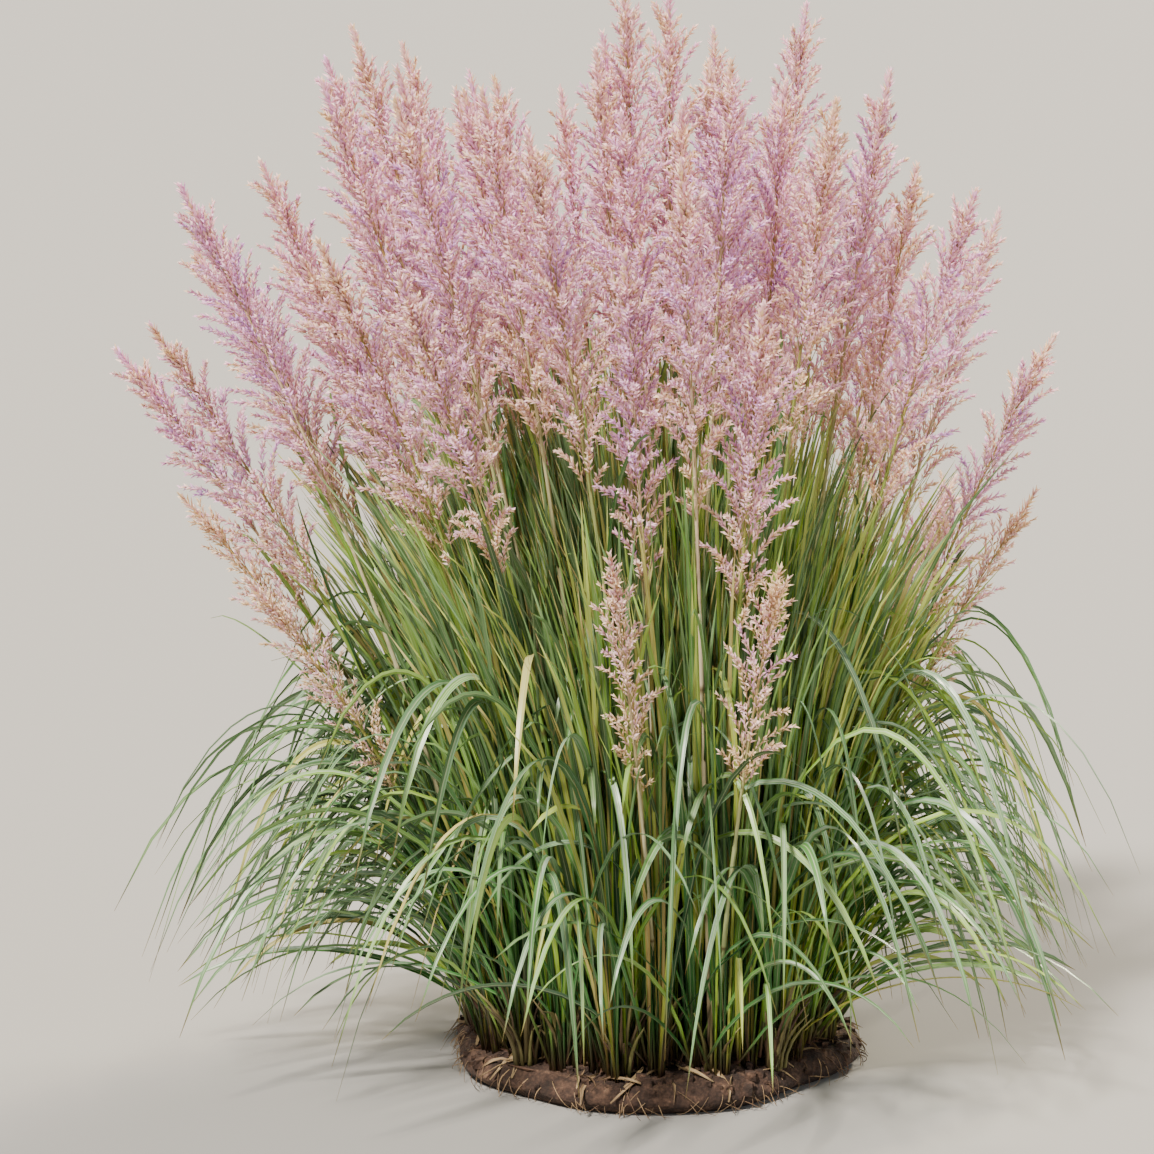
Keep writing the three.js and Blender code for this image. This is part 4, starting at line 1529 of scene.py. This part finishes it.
@dataclass(frozen=True)
class ArchingLeaves:
    """Slender leaves that rise and bow over like the frame's, but turn aside more."""

    aside: Pair = (0.3, 1.6)
    ring: float = 7.0
    size: Pair = (0.5, 1.0)
    rise_spread: Pair = (0.8, 1.1)
    reach_spread: Pair = (0.7, 1.1)
    tip_raise: float = 260.0
    width: Pair = (6.0, 10.0)
    shades: Shades = Shades(0.38, 0.24)

    def draw(self, rng: np.random.Generator, count: int, spot: Spot, base: float) -> Blades:
        """Draws leaves.

        Args:
            rng: random numbers.
            count: how many.
            spot: where they grow.
            base: height of their foot.

        Returns:
            The blades.
        """
        heading = sideways(rng, np.full(count, spot.bearing), rng.uniform(*self.aside, count))
        foot = spot.place + level(heading, self.ring) + UP * base
        stance = np.minimum(1, spot.out * rng.uniform(*LEAF_STANCE, count))
        size = rng.uniform(*self.size, count)
        rise = between(LEAF_RISE, stance) * size * rng.uniform(*self.rise_spread, count)
        leftwards = 1 - LEFT_REACH * np.cos(heading)
        reach = between(LEAF_REACH, stance) * size * leftwards * rng.uniform(*self.reach_spread, count)
        tip = between(LEAF_TIP_HEIGHT, stance) * size + rng.uniform(0, self.tip_raise, count)
        shape = np.stack([rise, reach, tip - base, rng.uniform(-LEAF_DRIFT, LEAF_DRIFT, count)], -1)
        return Blades(arch(foot, heading, shape, BOW_BEND), rolled(rng, heading),
                      rng.uniform(*self.width, count), self.shades.draw(rng, count, spot.bearing),
                      rng.normal(0, 0.6, count))


@dataclass
class LeafTuft:
    """A tuft: the frame's broad leaves, and slender ones between them."""

    site: Site
    upright: int = 27
    bending: int = 3
    arching: int = 3
    base: float = FOOT_TOP - 10
    arching_base: float = FOOT_TOP - 6
    turn: Pair = (0.3, 1.1)
    shades: Shades = Shades(0.34, 0.16, withered=0.02, painted_sun_yellowing=0.0)
    foot: BasalShoots = BasalShoots(14.0)
    leaves: list[Leaf] = field(default_factory=list)

    def grow(self) -> None:
        """Finds the leaves that the frame kept."""
        for member in range(LEAVES_PER_TUFT):
            leaf = kept(self.site, member, LEAF_SEED, LEAF_TRIES, draw_leaf)
            if leaf is not None:
                self.leaves.append(leaf)

    def broad(self, rng: np.random.Generator) -> Blades:
        """The frame's leaves, each turned a little about itself."""
        count = len(self.leaves)
        return Blades(np.stack([leaf.control for leaf in self.leaves]),
                      np.stack([leaf.side for leaf in self.leaves]),
                      np.array([leaf.width for leaf in self.leaves]),
                      self.shades.draw(rng, count),
                      rng.choice([-1, 1], count) * rng.uniform(*self.turn, count))

    def build(self) -> None:
        """Makes the tuft's piece, which stands for its node."""
        rng = np.random.default_rng(LEAF_SEED + self.site.index)
        spot = Spot(self.site.place, self.site.out, self.site.bearing)
        broad = self.broad(rng)
        arching = ArchingLeaves().draw(rng, self.arching, spot, self.arching_base)
        upright = UprightLeaves().draw(rng, self.upright, spot, self.base)
        bending = UprightLeaves(STRONG_BEND).draw(rng, self.bending, spot, self.base)
        bundle = Bundle(f"{self.site.node}_blades", "leaf")
        bundle.add(broad.patch(17, Section.blade(EDGE_RISE), Finish.WAXY, BROAD_THICKNESS),
                   arching.patch(13, Section.keeled(), Finish.WAXY),
                   upright.patch(7, Section.keeled()), bending.patch(12, Section.keeled()),
                   self.foot.patch(self.site, rng))
        bundle.make(self.site.node)


@dataclass(frozen=True)
class Understory:
    """Leafy tillers without flowers that stand between the sites, in sectors round the clump."""

    sectors: int = 6
    tillers: int = 130
    upright: int = 23
    bending: int = 2
    arching: int = 2
    reach: float = 0.97
    first_bearing: float = 1.3
    sunk: float = 6.0
    seed: int = 70000

    def build(self, mat: "RootMat") -> None:
        """Makes a piece for each sector, from tillers on a sunflower spiral of their own.

        Args:
            mat: the root mat that the tillers stand in.
        """
        groups: list[list[Patch]] = [[] for _ in range(self.sectors)]
        for index in range(self.tillers):
            rng = np.random.default_rng(self.seed + index)
            out = math.sqrt((index + 0.5) / self.tillers) * self.reach
            bearing = index * GOLDEN_ANGLE + self.first_bearing
            place = level(bearing, out * CLUMP_RADIUS)
            base = float(mat.height(place[0], place[1])) - self.sunk
            spot = Spot(place, out, bearing)
            upright = UprightLeaves().draw(rng, self.upright, spot, base)
            bending = UprightLeaves(STRONG_BEND).draw(rng, self.bending, spot, base)
            arching = ArchingLeaves().draw(rng, self.arching, spot, base)
            groups[int(bearing / (2 * math.pi) * self.sectors) % self.sectors] += [
                upright.patch(7, Section.keeled()), bending.patch(12, Section.keeled()),
                arching.patch(12, Section.keeled())]
        for sector, patches in enumerate(groups):
            bundle = Bundle(f"tillers_{sector + 1}", "leaf")
            bundle.add(*joined(patches))
            bundle.make()


@dataclass(frozen=True)
class BowRow:
    """A ring of arching leaves: their mean shade, how they gather, how many, and the ranges of their shape.

    Gathering draws them together at the clump's two sides, -X and +X, and thins them out between. They stand
    so far out, as shares of the clump's radius. Rise and reach are in millimetres, the fall of the tip is a
    share of the rise, and they turn aside by so many radians.
    """

    shade: float
    gathering: float
    count: int
    stand: Pair
    rise: Pair
    reach: Pair
    fall: Pair
    aside: Pair


@dataclass(frozen=True)
class Skirt:
    """Leaves round the rim that arch over sideways in bows, the outer ones down to the ground.

    Two rows stand nearly evenly all round, and two denser ones gather at the clump's two sides.
    """

    rows: tuple[BowRow, ...] = (
        BowRow(0.36, 0.15, 68, (0.82, 1.02), (150, 400), (190, 380), (0.05, 0.6), (0.6, 1.7)),
        BowRow(0.36, 0.15, 66, (0.6, 1.0), (380, 640), (220, 430), (0.3, 0.85), (0.6, 1.7)),
        BowRow(0.4, 0.3, 120, (0.84, 1.0), (90, 300), (200, 390), (0.15, 0.8), (0.2, 1.3)),
        BowRow(0.4, 0.3, 110, (0.78, 1.0), (270, 520), (250, 430), (0.3, 0.8), (0.2, 1.3)),
    )
    base: float = 50.0
    spacing_scatter: float = 0.08
    tip_share: float = 0.8
    drift: float = 1.5 * LEAF_DRIFT
    width: Pair = (5.8, 9.4)
    shade_spread: float = 0.22
    seed: int = 75000

    def row(self, rng: np.random.Generator, row: BowRow) -> Blades:
        """The leaves of one ring.

        Args:
            rng: random numbers.
            row: the ring.

        Returns:
            The blades.
        """
        count = row.count
        bearing = np.arange(count) * 2 * np.pi / count + rng.normal(0, self.spacing_scatter, count)
        bearing -= row.gathering * np.sin(2 * bearing)
        foot = level(bearing, CLUMP_RADIUS * rng.uniform(*row.stand, count)) + UP * self.base
        heading = sideways(rng, bearing, rng.uniform(*row.aside, count))
        rise = rng.uniform(*row.rise, count)
        tip = rise * (1 - rng.uniform(*row.fall, count)) * self.tip_share
        drift = rng.uniform(-self.drift, self.drift, count)
        shape = np.stack([rise, rng.uniform(*row.reach, count), tip, drift], -1)
        return Blades(arch(foot, heading, shape, BOW_BEND), rolled(rng, heading),
                      rng.uniform(*self.width, count),
                      Shades(row.shade, self.shade_spread).draw(rng, count, bearing),
                      rng.normal(0, 0.6, count))

    def build(self) -> None:
        """Makes the skirt's piece."""
        rng = np.random.default_rng(self.seed)
        bundle = Bundle("skirt_blades", "leaf")
        for row in self.rows:
            bows = self.row(rng, row)
            bundle.add(bows.patch(14, Section.blade(EDGE_RISE), Finish.WAXY, BROAD_THICKNESS))
        bundle.make()


@dataclass(frozen=True)
class CulmLeaves:
    """Short leaves that leave the culms above their nodes, rising and then arching outwards."""

    groups: int = 4
    above_node: float = 0.08
    run: Pair = (170.0, 340.0)
    bend: Pair = (0.02, 0.5)
    width: Pair = (4.5, 7.5)
    shades: Shades = Shades(0.42, 0.2, painted_sun_yellowing=0.0)
    seed: int = 80000

    def build(self, shoots: list[FloweringShoot]) -> None:
        """Makes a piece for each group of shoots.

        A leaf follows the culm's way up for its run and comes away from it, more so the more it is bent.

        Args:
            shoots: the flowering shoots.
        """
        for group in range(self.groups):
            rng = np.random.default_rng(self.seed + group)
            stems = [stem for shoot in shoots[group::self.groups] for stem in shoot.stems]
            control = np.repeat(np.stack([stem.control for stem in stems]), len(CULM_NODES), axis=0)
            at = np.concatenate([np.interp(CULM_NODES, [0, CULM_SHARE], [0, stem.neck]) for stem in stems])
            foot, rise = bezier(control, at + self.above_node)
            count = len(foot)
            ahead = level(rng.uniform(0, 2 * np.pi, count))
            run = rng.uniform(*self.run, count)[:, None]
            bent = rng.uniform(*self.bend, count)[:, None]
            first = foot + rise * 0.4 * run + ahead * 0.06 * run
            second = foot + rise * (0.85 - 0.2 * bent) * run + ahead * (0.1 + 0.4 * bent) * run
            last = foot + rise * (1.0 - 0.85 * bent) * run + ahead * (0.14 + 0.7 * bent) * run
            blades = Blades(np.stack([foot, first, second, last], 1), np.cross(UP, ahead),
                            rng.uniform(*self.width, count), self.shades.draw(rng, count),
                            rng.normal(0, 0.6, count))
            bundle = Bundle(f"culm_leaves_{group + 1}", "leaf")
            bundle.add(blades.patch(11, Section.keeled()))
            bundle.make()


# --- Root mat -------------------------------------------------------------------------------------------


@dataclass(frozen=True)
class RootMat:
    """The mat under the crown: loam bound by roots, with crumbs, root fibres and withered bits on it."""

    sectors: int = 150
    profile_steps: int = 44
    pole_share: float = 0.004
    clod_waves: tuple[tuple[float, ...], ...] = (
        (1.6, 13.0, 0.3), (1.1, 6.1, 1.9), (0.7, 3.3, 4.4), (0.4, 1.9, 2.7))
    clods_above: float = 8.0
    clod_lift: float = 0.8
    clod_push: float = 0.7
    crumbs: int = 900
    crumb_size: Pair = (1.5, 11.0)
    crumb_shape: Pair = (0.55, 1.15)
    crumb_half: float = 0.62
    fibres: int = 220
    fibre_start: Pair = (10.0, 40.0)
    fibre_radius: Pair = (0.4, 1.1)
    scraps: int = 260
    scrap_run: Pair = (12.0, 42.0)
    scrap_width: Pair = (2.5, 6.5)
    scrap_lift: tuple[float, ...] = (3.0, 7.0, 7.0, 3.0)
    stubs: int = 6
    stub_foot: float = 42.0
    stub_ring: Pair = (8.0, 14.0)
    stub_rise: Pair = (45.0, 150.0)
    stub_lean: Pair = (0.05, 0.55)
    stub_width: Pair = (3.5, 7.5)
    seed: int = 90000

    def outline(self, bearing: np.ndarray) -> np.ndarray:
        """The mat's radius towards a bearing: a circle with three slow waves."""
        waves = sum(size * np.sin(times * bearing + phase) for times, size, phase in MAT_WAVES)
        return MAT_RADIUS * (1 + waves)

    def height(self, x: np.ndarray, y: np.ndarray) -> np.ndarray:
        """Height of the mat's top at a place: the profile between its corners, plus the slow bumps."""
        share = np.hypot(x, y) / self.outline(np.arctan2(y, x))
        profile = np.array(MAT_PROFILE[:1:-1])
        dome = np.interp(share, profile[:, 0], profile[:, 1])
        return dome + BUMP_HEIGHT * np.sin(x / BUMP_LENGTH[0]) * np.cos(y / BUMP_LENGTH[1])

    def clods(self, points: np.ndarray) -> np.ndarray:
        """Clods: the sum of four products of sines, each lower and about half as long as the last.

        Args:
            points: places, (..., 3).

        Returns:
            Heights at the places.
        """
        total = np.zeros(points.shape[:-1])
        for size, length, phase in self.clod_waves:
            x, y, z = (points[..., i] / length for i in range(3))
            total += size * np.sin(x + 1.7 * np.sin(y * 0.9 + phase)) * np.cos(y + 1.3 * np.sin(z + x * 0.8))
        return total

    def rings(self) -> tuple[np.ndarray, np.ndarray]:
        """Shares of the radius and heights of the mat's rings, from the pole below to the pole on top."""
        corner = np.array(MAT_PROFILE)
        run = np.append(0, np.cumsum(np.hypot(*(np.diff(corner, axis=0) * [MAT_RADIUS, 1]).T)))
        sides = np.linspace(run[1], run[-1], self.profile_steps)[:-1]
        steps = np.concatenate([[0.0, run[1] / 2], sides])
        share, z = np.interp(steps, run, corner[:, 0]), np.interp(steps, run, corner[:, 1])
        share[0] = self.pole_share
        return np.append(share, self.pole_share), np.append(z, corner[-1, 1])

    def body(self) -> Patch:
        """The mat itself: its profile is turned round the axis, bumped slowly and roughened by clods."""
        share, z = self.rings()
        bearing = np.arange(self.sectors) * 2 * np.pi / self.sectors
        flat = level(bearing)[:, None] * (share * MAT_RADIUS)[None, :, None]
        bump = BUMP_HEIGHT * np.sin(flat[..., 0] / BUMP_LENGTH[0]) * np.cos(flat[..., 1] / BUMP_LENGTH[1])
        spread = flat * (self.outline(bearing) / MAT_RADIUS)[:, None, None]
        points = spread + UP * (z + bump * np.clip(z / MAT_PROFILE[2][1], 0, 1))[..., None]
        above = np.clip(points[..., 2:] / self.clods_above, 0, 1)
        push = UP * self.clod_lift + unit(spread + 1e-9) * self.clod_push
        points = points + push * self.clods(points)[..., None] * above
        points[..., 2] = np.maximum(points[..., 2], 0)
        corners = points.transpose(1, 0, 2).reshape(-1, 3)
        number = np.arange(len(corners)).reshape(len(share), self.sectors)
        along, around = np.linspace(0, 1, len(share)), np.linspace(0, 1, self.sectors + 1)
        fan = cap_fan(self.sectors)
        cap = cap_places(around, around)
        tris = np.concatenate([number[0][fan[:, ::-1]], number[-1][fan]])
        tri_places = np.concatenate([cap[:, ::-1], cap + (1 - CAP_STRIP) * UP])
        count = len(corners)
        return Patch(corners, tris, grid_quads(number).reshape(-1, 4), tri_places,
                     grid_places(along, around, around).reshape(-1, 4, 3), np.zeros(count),
                     np.zeros(count, int), np.zeros(count, int), Finish.SOIL, Sharing.OWN_COLUMN, True)

    def lumps(self, rng: np.random.Generator) -> Patch:
        """Crumbs of soil: eight-cornered lumps, each corner of a cube drawn in or out at random.

        Args:
            rng: random numbers.

        Returns:
            The crumbs as a patch.
        """
        count = self.crumbs
        bearing = rng.uniform(0, 2 * np.pi, count)
        out = np.sqrt(rng.uniform(0.0, 1.0, count)) * 0.99
        spot = level(bearing, out * self.outline(bearing))
        size = rng.gamma(3.0, 1.5, count).clip(*self.crumb_size)
        spot[:, 2] = self.height(spot[:, 0], spot[:, 1]) + size * 0.3
        cube = np.array([[x, y, z] for z in (-1, 1) for y in (-1, 1) for x in (-1, 1)], float)
        shape = cube * rng.uniform(*self.crumb_shape, (count, 8, 3)) * size[:, None, None] * self.crumb_half
        corners = (spot[:, None] + shape).reshape(-1, 3)
        faces = np.array([[0, 2, 3, 1], [4, 5, 7, 6], [0, 1, 5, 4], [2, 6, 7, 3], [0, 4, 6, 2], [1, 3, 7, 5]])
        quads = (np.arange(count)[:, None, None] * 8 + faces).reshape(-1, 4)
        line = np.linspace(0, 1, len(faces) + 1)
        cell = grid_places(np.array([0.0, 1.0]), line, line)[0]
        return Patch(corners, np.zeros((0, 3), int), quads, np.zeros((0, 3, 3)), np.tile(cell, (count, 1, 1)),
                     np.repeat(rng.uniform(0, 1, count), 8), np.repeat(np.arange(count), 8),
                     np.zeros(count * 8, int), Finish.SOIL, Sharing.OWN_COLUMN, False)

    def roots(self, rng: np.random.Generator) -> Patch:
        """Root fibres that leave the mat's side and trail down it to the ground.

        Args:
            rng: random numbers.

        Returns:
            The fibres as a patch.
        """
        count = self.fibres
        bearing = rng.uniform(0, 2 * np.pi, count)
        edge = self.outline(bearing)
        turn = rng.normal(0, 0.09, count)
        start = rng.uniform(*self.fibre_start, count)
        inside = edge * np.interp(start, [0, 15, 33, 45], [0.93, 0.98, 0.93, 0.72])
        high = UP * start[:, None]
        foot = level(bearing, inside) + high
        first = level(bearing + turn * 0.3, inside + rng.uniform(10, 20, count)) + high
        second = level(bearing + turn * 0.7, edge + rng.uniform(2, 9, count)) + UP * 2.0
        last = level(bearing + turn, edge + rng.uniform(-6, 14, count))
        last += UP * rng.uniform(0.8, 5, count)[:, None]
        spine = Spine.on(np.stack([foot, first, second, last], 1), np.linspace(0, 1, 8), level(bearing + 1.4))
        radius = rng.uniform(*self.fibre_radius, count)[:, None] * np.linspace(1, 0.35, 8)
        return sweep(spine, Section.round(3), radius, radius, rng.uniform(0, 1, count), Finish.ROOT)

    def litter(self, rng: np.random.Generator) -> Patch:
        """Withered scraps of leaf that lie on the mat, curled a little.

        Args:
            rng: random numbers.

        Returns:
            The scraps as a patch.
        """
        count = self.scraps
        bearing = rng.uniform(0, 2 * np.pi, count)
        out = np.sqrt(rng.uniform(0.02, 0.93, count))
        middle = level(bearing, out * self.outline(bearing))
        heading = rng.uniform(0, 2 * np.pi, count)
        run = level(heading, rng.uniform(*self.scrap_run, count))
        bend = np.cross(UP, run) * rng.normal(0, 0.25, (count, 1))
        ends = [middle - run, middle - run * 0.3 + bend, middle + run * 0.3 + bend, middle + run]
        control = np.stack([end * [1, 1, 0] + UP * (self.height(end[:, 0], end[:, 1]) + lift)[:, None]
                            for end, lift in zip(ends, self.scrap_lift)], 1)
        blades = Blades(control, np.cross(UP, level(heading)), rng.uniform(*self.scrap_width, count),
                        rng.uniform(0, 1, count), rng.normal(0, 1.6, count))
        return blades.patch(5, Section.blade(0.4), Finish.DRY, BROAD_THICKNESS)

    def old_sheaths(self, rng: np.random.Generator, sites: list[Site]) -> Patch:
        """Short withered sheaths and leaf stubs round every foot.

        Args:
            rng: random numbers.
            sites: all sites.

        Returns:
            The stubs as a patch.
        """
        place = np.repeat(np.stack([site.place for site in sites]), self.stubs, axis=0)
        count = len(place)
        bearing = rng.uniform(0, 2 * np.pi, count)
        ahead = level(bearing)
        foot = place + ahead * rng.uniform(*self.stub_ring, count)[:, None] + UP * self.stub_foot
        rise = rng.uniform(*self.stub_rise, count)[:, None]
        lean = rng.uniform(*self.stub_lean, count)[:, None]
        control = np.stack([foot, foot + UP * rise * 0.4 + ahead * lean * rise * 0.1,
                            foot + UP * rise * 0.8 + ahead * lean * rise * 0.4,
                            foot + UP * rise * (1 - 0.4 * lean) + ahead * lean * rise], 1)
        blades = Blades(control, np.cross(UP, ahead), rng.uniform(*self.stub_width, count),
                        rng.uniform(0, 1, count), rng.normal(0, 0.8, count))
        return blades.patch(5, Section.blade(0.5), Finish.SHEATH, BROAD_THICKNESS)

    def build(self, sites: list[Site]) -> None:
        """Makes the mat, which stands for its node, and what lies on it and grows out of it.

        Args:
            sites: all sites.
        """
        rng = np.random.default_rng(self.seed)
        body = Bundle("root_mat_loam", "soil")
        body.add(self.body(), self.lumps(rng))
        body.make("root_mat")
        fibres = Bundle("root_fibres", "soil")
        fibres.add(self.roots(rng))
        fibres.make()
        crown = Bundle("crown_litter", "leaf")
        crown.add(self.litter(rng), self.old_sheaths(rng, sites))
        crown.make()


# --- Studio ---------------------------------------------------------------------------------------------


@dataclass(frozen=True)
class Lamp:
    """A broad distant light.

    Its elevation over the horizon, its azimuth from +X towards +Y and its softness, the angle that it fills,
    are in degrees. Its strength is in watts a square metre.
    """

    name: str
    elevation: float
    azimuth: float
    softness: float
    strength: float
    colour: str

    def build(self) -> None:
        """Makes the light."""
        source = bpy.data.lights.new(self.name, "SUN")
        source.angle = math.radians(self.softness)
        source.energy = self.strength
        source.color = linear(self.colour)[:3]
        lamp = bpy.data.objects.new(self.name, source)
        lamp.rotation_euler = (math.radians(90 - self.elevation), 0.0, math.radians(self.azimuth + 90))
        bpy.context.scene.collection.objects.link(lamp)


@dataclass(frozen=True)
class Studio:
    """A pale floor that rises gently far out, soft light from three sides and the camera. In metres."""

    flat_radius: float = 5.0
    rim_radius: float = 30.0
    rim_height: float = 3.4
    floor_sectors: int = 96
    floor_rings: int = 24
    paper: str = "#92908c"
    sky: str = "#eef2f6"
    sky_strength: float = 0.42
    lamps: tuple[Lamp, ...] = (
        Lamp("key", 50, -125, 8, 9.6, "#fff7ec"),
        Lamp("back", 40, 52, 14, 6.4, "#fff1d8"),
        Lamp("fill", 25, -30, 50, 0.7, "#eaf1ff"),
    )
    camera_place: tuple[float, float, float] = (-0.094, -4.0, 1.19)
    camera_pitch: float = 8.22
    camera_lens: float = 101.5

    def floor(self) -> None:
        """The floor: turned round the middle, flat inside, then rising with the square of the way out."""
        rings = np.linspace(self.flat_radius + 0.5, self.rim_radius, self.floor_rings)
        out = np.append(self.flat_radius, rings)
        up = self.rim_height * ((out - self.flat_radius) / (self.rim_radius - self.flat_radius)) ** 2
        sectors = self.floor_sectors
        bearing = np.arange(sectors) * 2 * np.pi / sectors
        points = level(bearing)[None] * out[:, None, None] + UP * up[:, None, None]
        corners = np.concatenate([[[0.0, 0.0, 0.0]], points.reshape(-1, 3)])
        number = 1 + np.arange(len(corners) - 1).reshape(len(out), sectors)
        beside = np.roll(number, -1, axis=1)
        fan = np.stack([np.zeros(sectors, int), number[0], beside[0]], -1)
        quads = np.stack([number[:-1], number[1:], beside[1:], beside[:-1]], -1).reshape(-1, 4)
        mesh = bpy.data.meshes.new("studio_floor")
        mesh.from_pydata(corners, [], fan.tolist() + quads.tolist())
        mesh.polygons.foreach_set("use_smooth", np.ones(len(mesh.polygons), bool))
        material = new_material("studio_paper")
        tree = material.node_tree
        surface = add(tree, "BsdfPrincipled", {"Base Color": self.paper, "Roughness": 0.9})
        add(tree, "OutputMaterial", {"Surface": surface})
        mesh.materials.append(material)
        floor = bpy.data.objects.new("studio_floor", mesh)
        bpy.context.scene.collection.objects.link(floor)

    def build(self) -> None:
        """Makes the floor, the lights, the sky and the camera."""
        self.floor()
        for lamp in self.lamps:
            lamp.build()
        world = bpy.data.worlds.new("sky")
        world.use_nodes = True
        background = world.node_tree.nodes["Background"]
        background.inputs[0].default_value = linear(self.sky)
        background.inputs[1].default_value = self.sky_strength
        bpy.context.scene.world = world
        camera = bpy.data.objects.new("camera", bpy.data.cameras.new("camera"))
        camera.data.lens = self.camera_lens
        camera.location = self.camera_place
        camera.rotation_euler = (math.radians(90 - self.camera_pitch), 0.0, 0.0)
        bpy.context.scene.collection.objects.link(camera)
        bpy.context.scene.camera = camera


def main() -> None:
    """Builds the studio and the plant's pieces in order."""
    logging.basicConfig(level=logging.INFO, format="%(message)s")
    Studio().build()
    sites = plan_sites()
    mat = RootMat()
    mat.build(sites)
    shoots = [FloweringShoot(site) for site in sites if site.flowers]
    for shoot in shoots:
        shoot.grow()
        shoot.build()
    tufts = [LeafTuft(site) for site in sites if not site.flowers]
    for tuft in tufts:
        tuft.grow()
        tuft.build()
    LOG.info("%d leaves stand for the frame's", sum(len(tuft.leaves) for tuft in tufts))
    Understory().build(mat)
    CulmLeaves().build(shoots)
    Skirt().build()


if __name__ == "__main__":
    main()
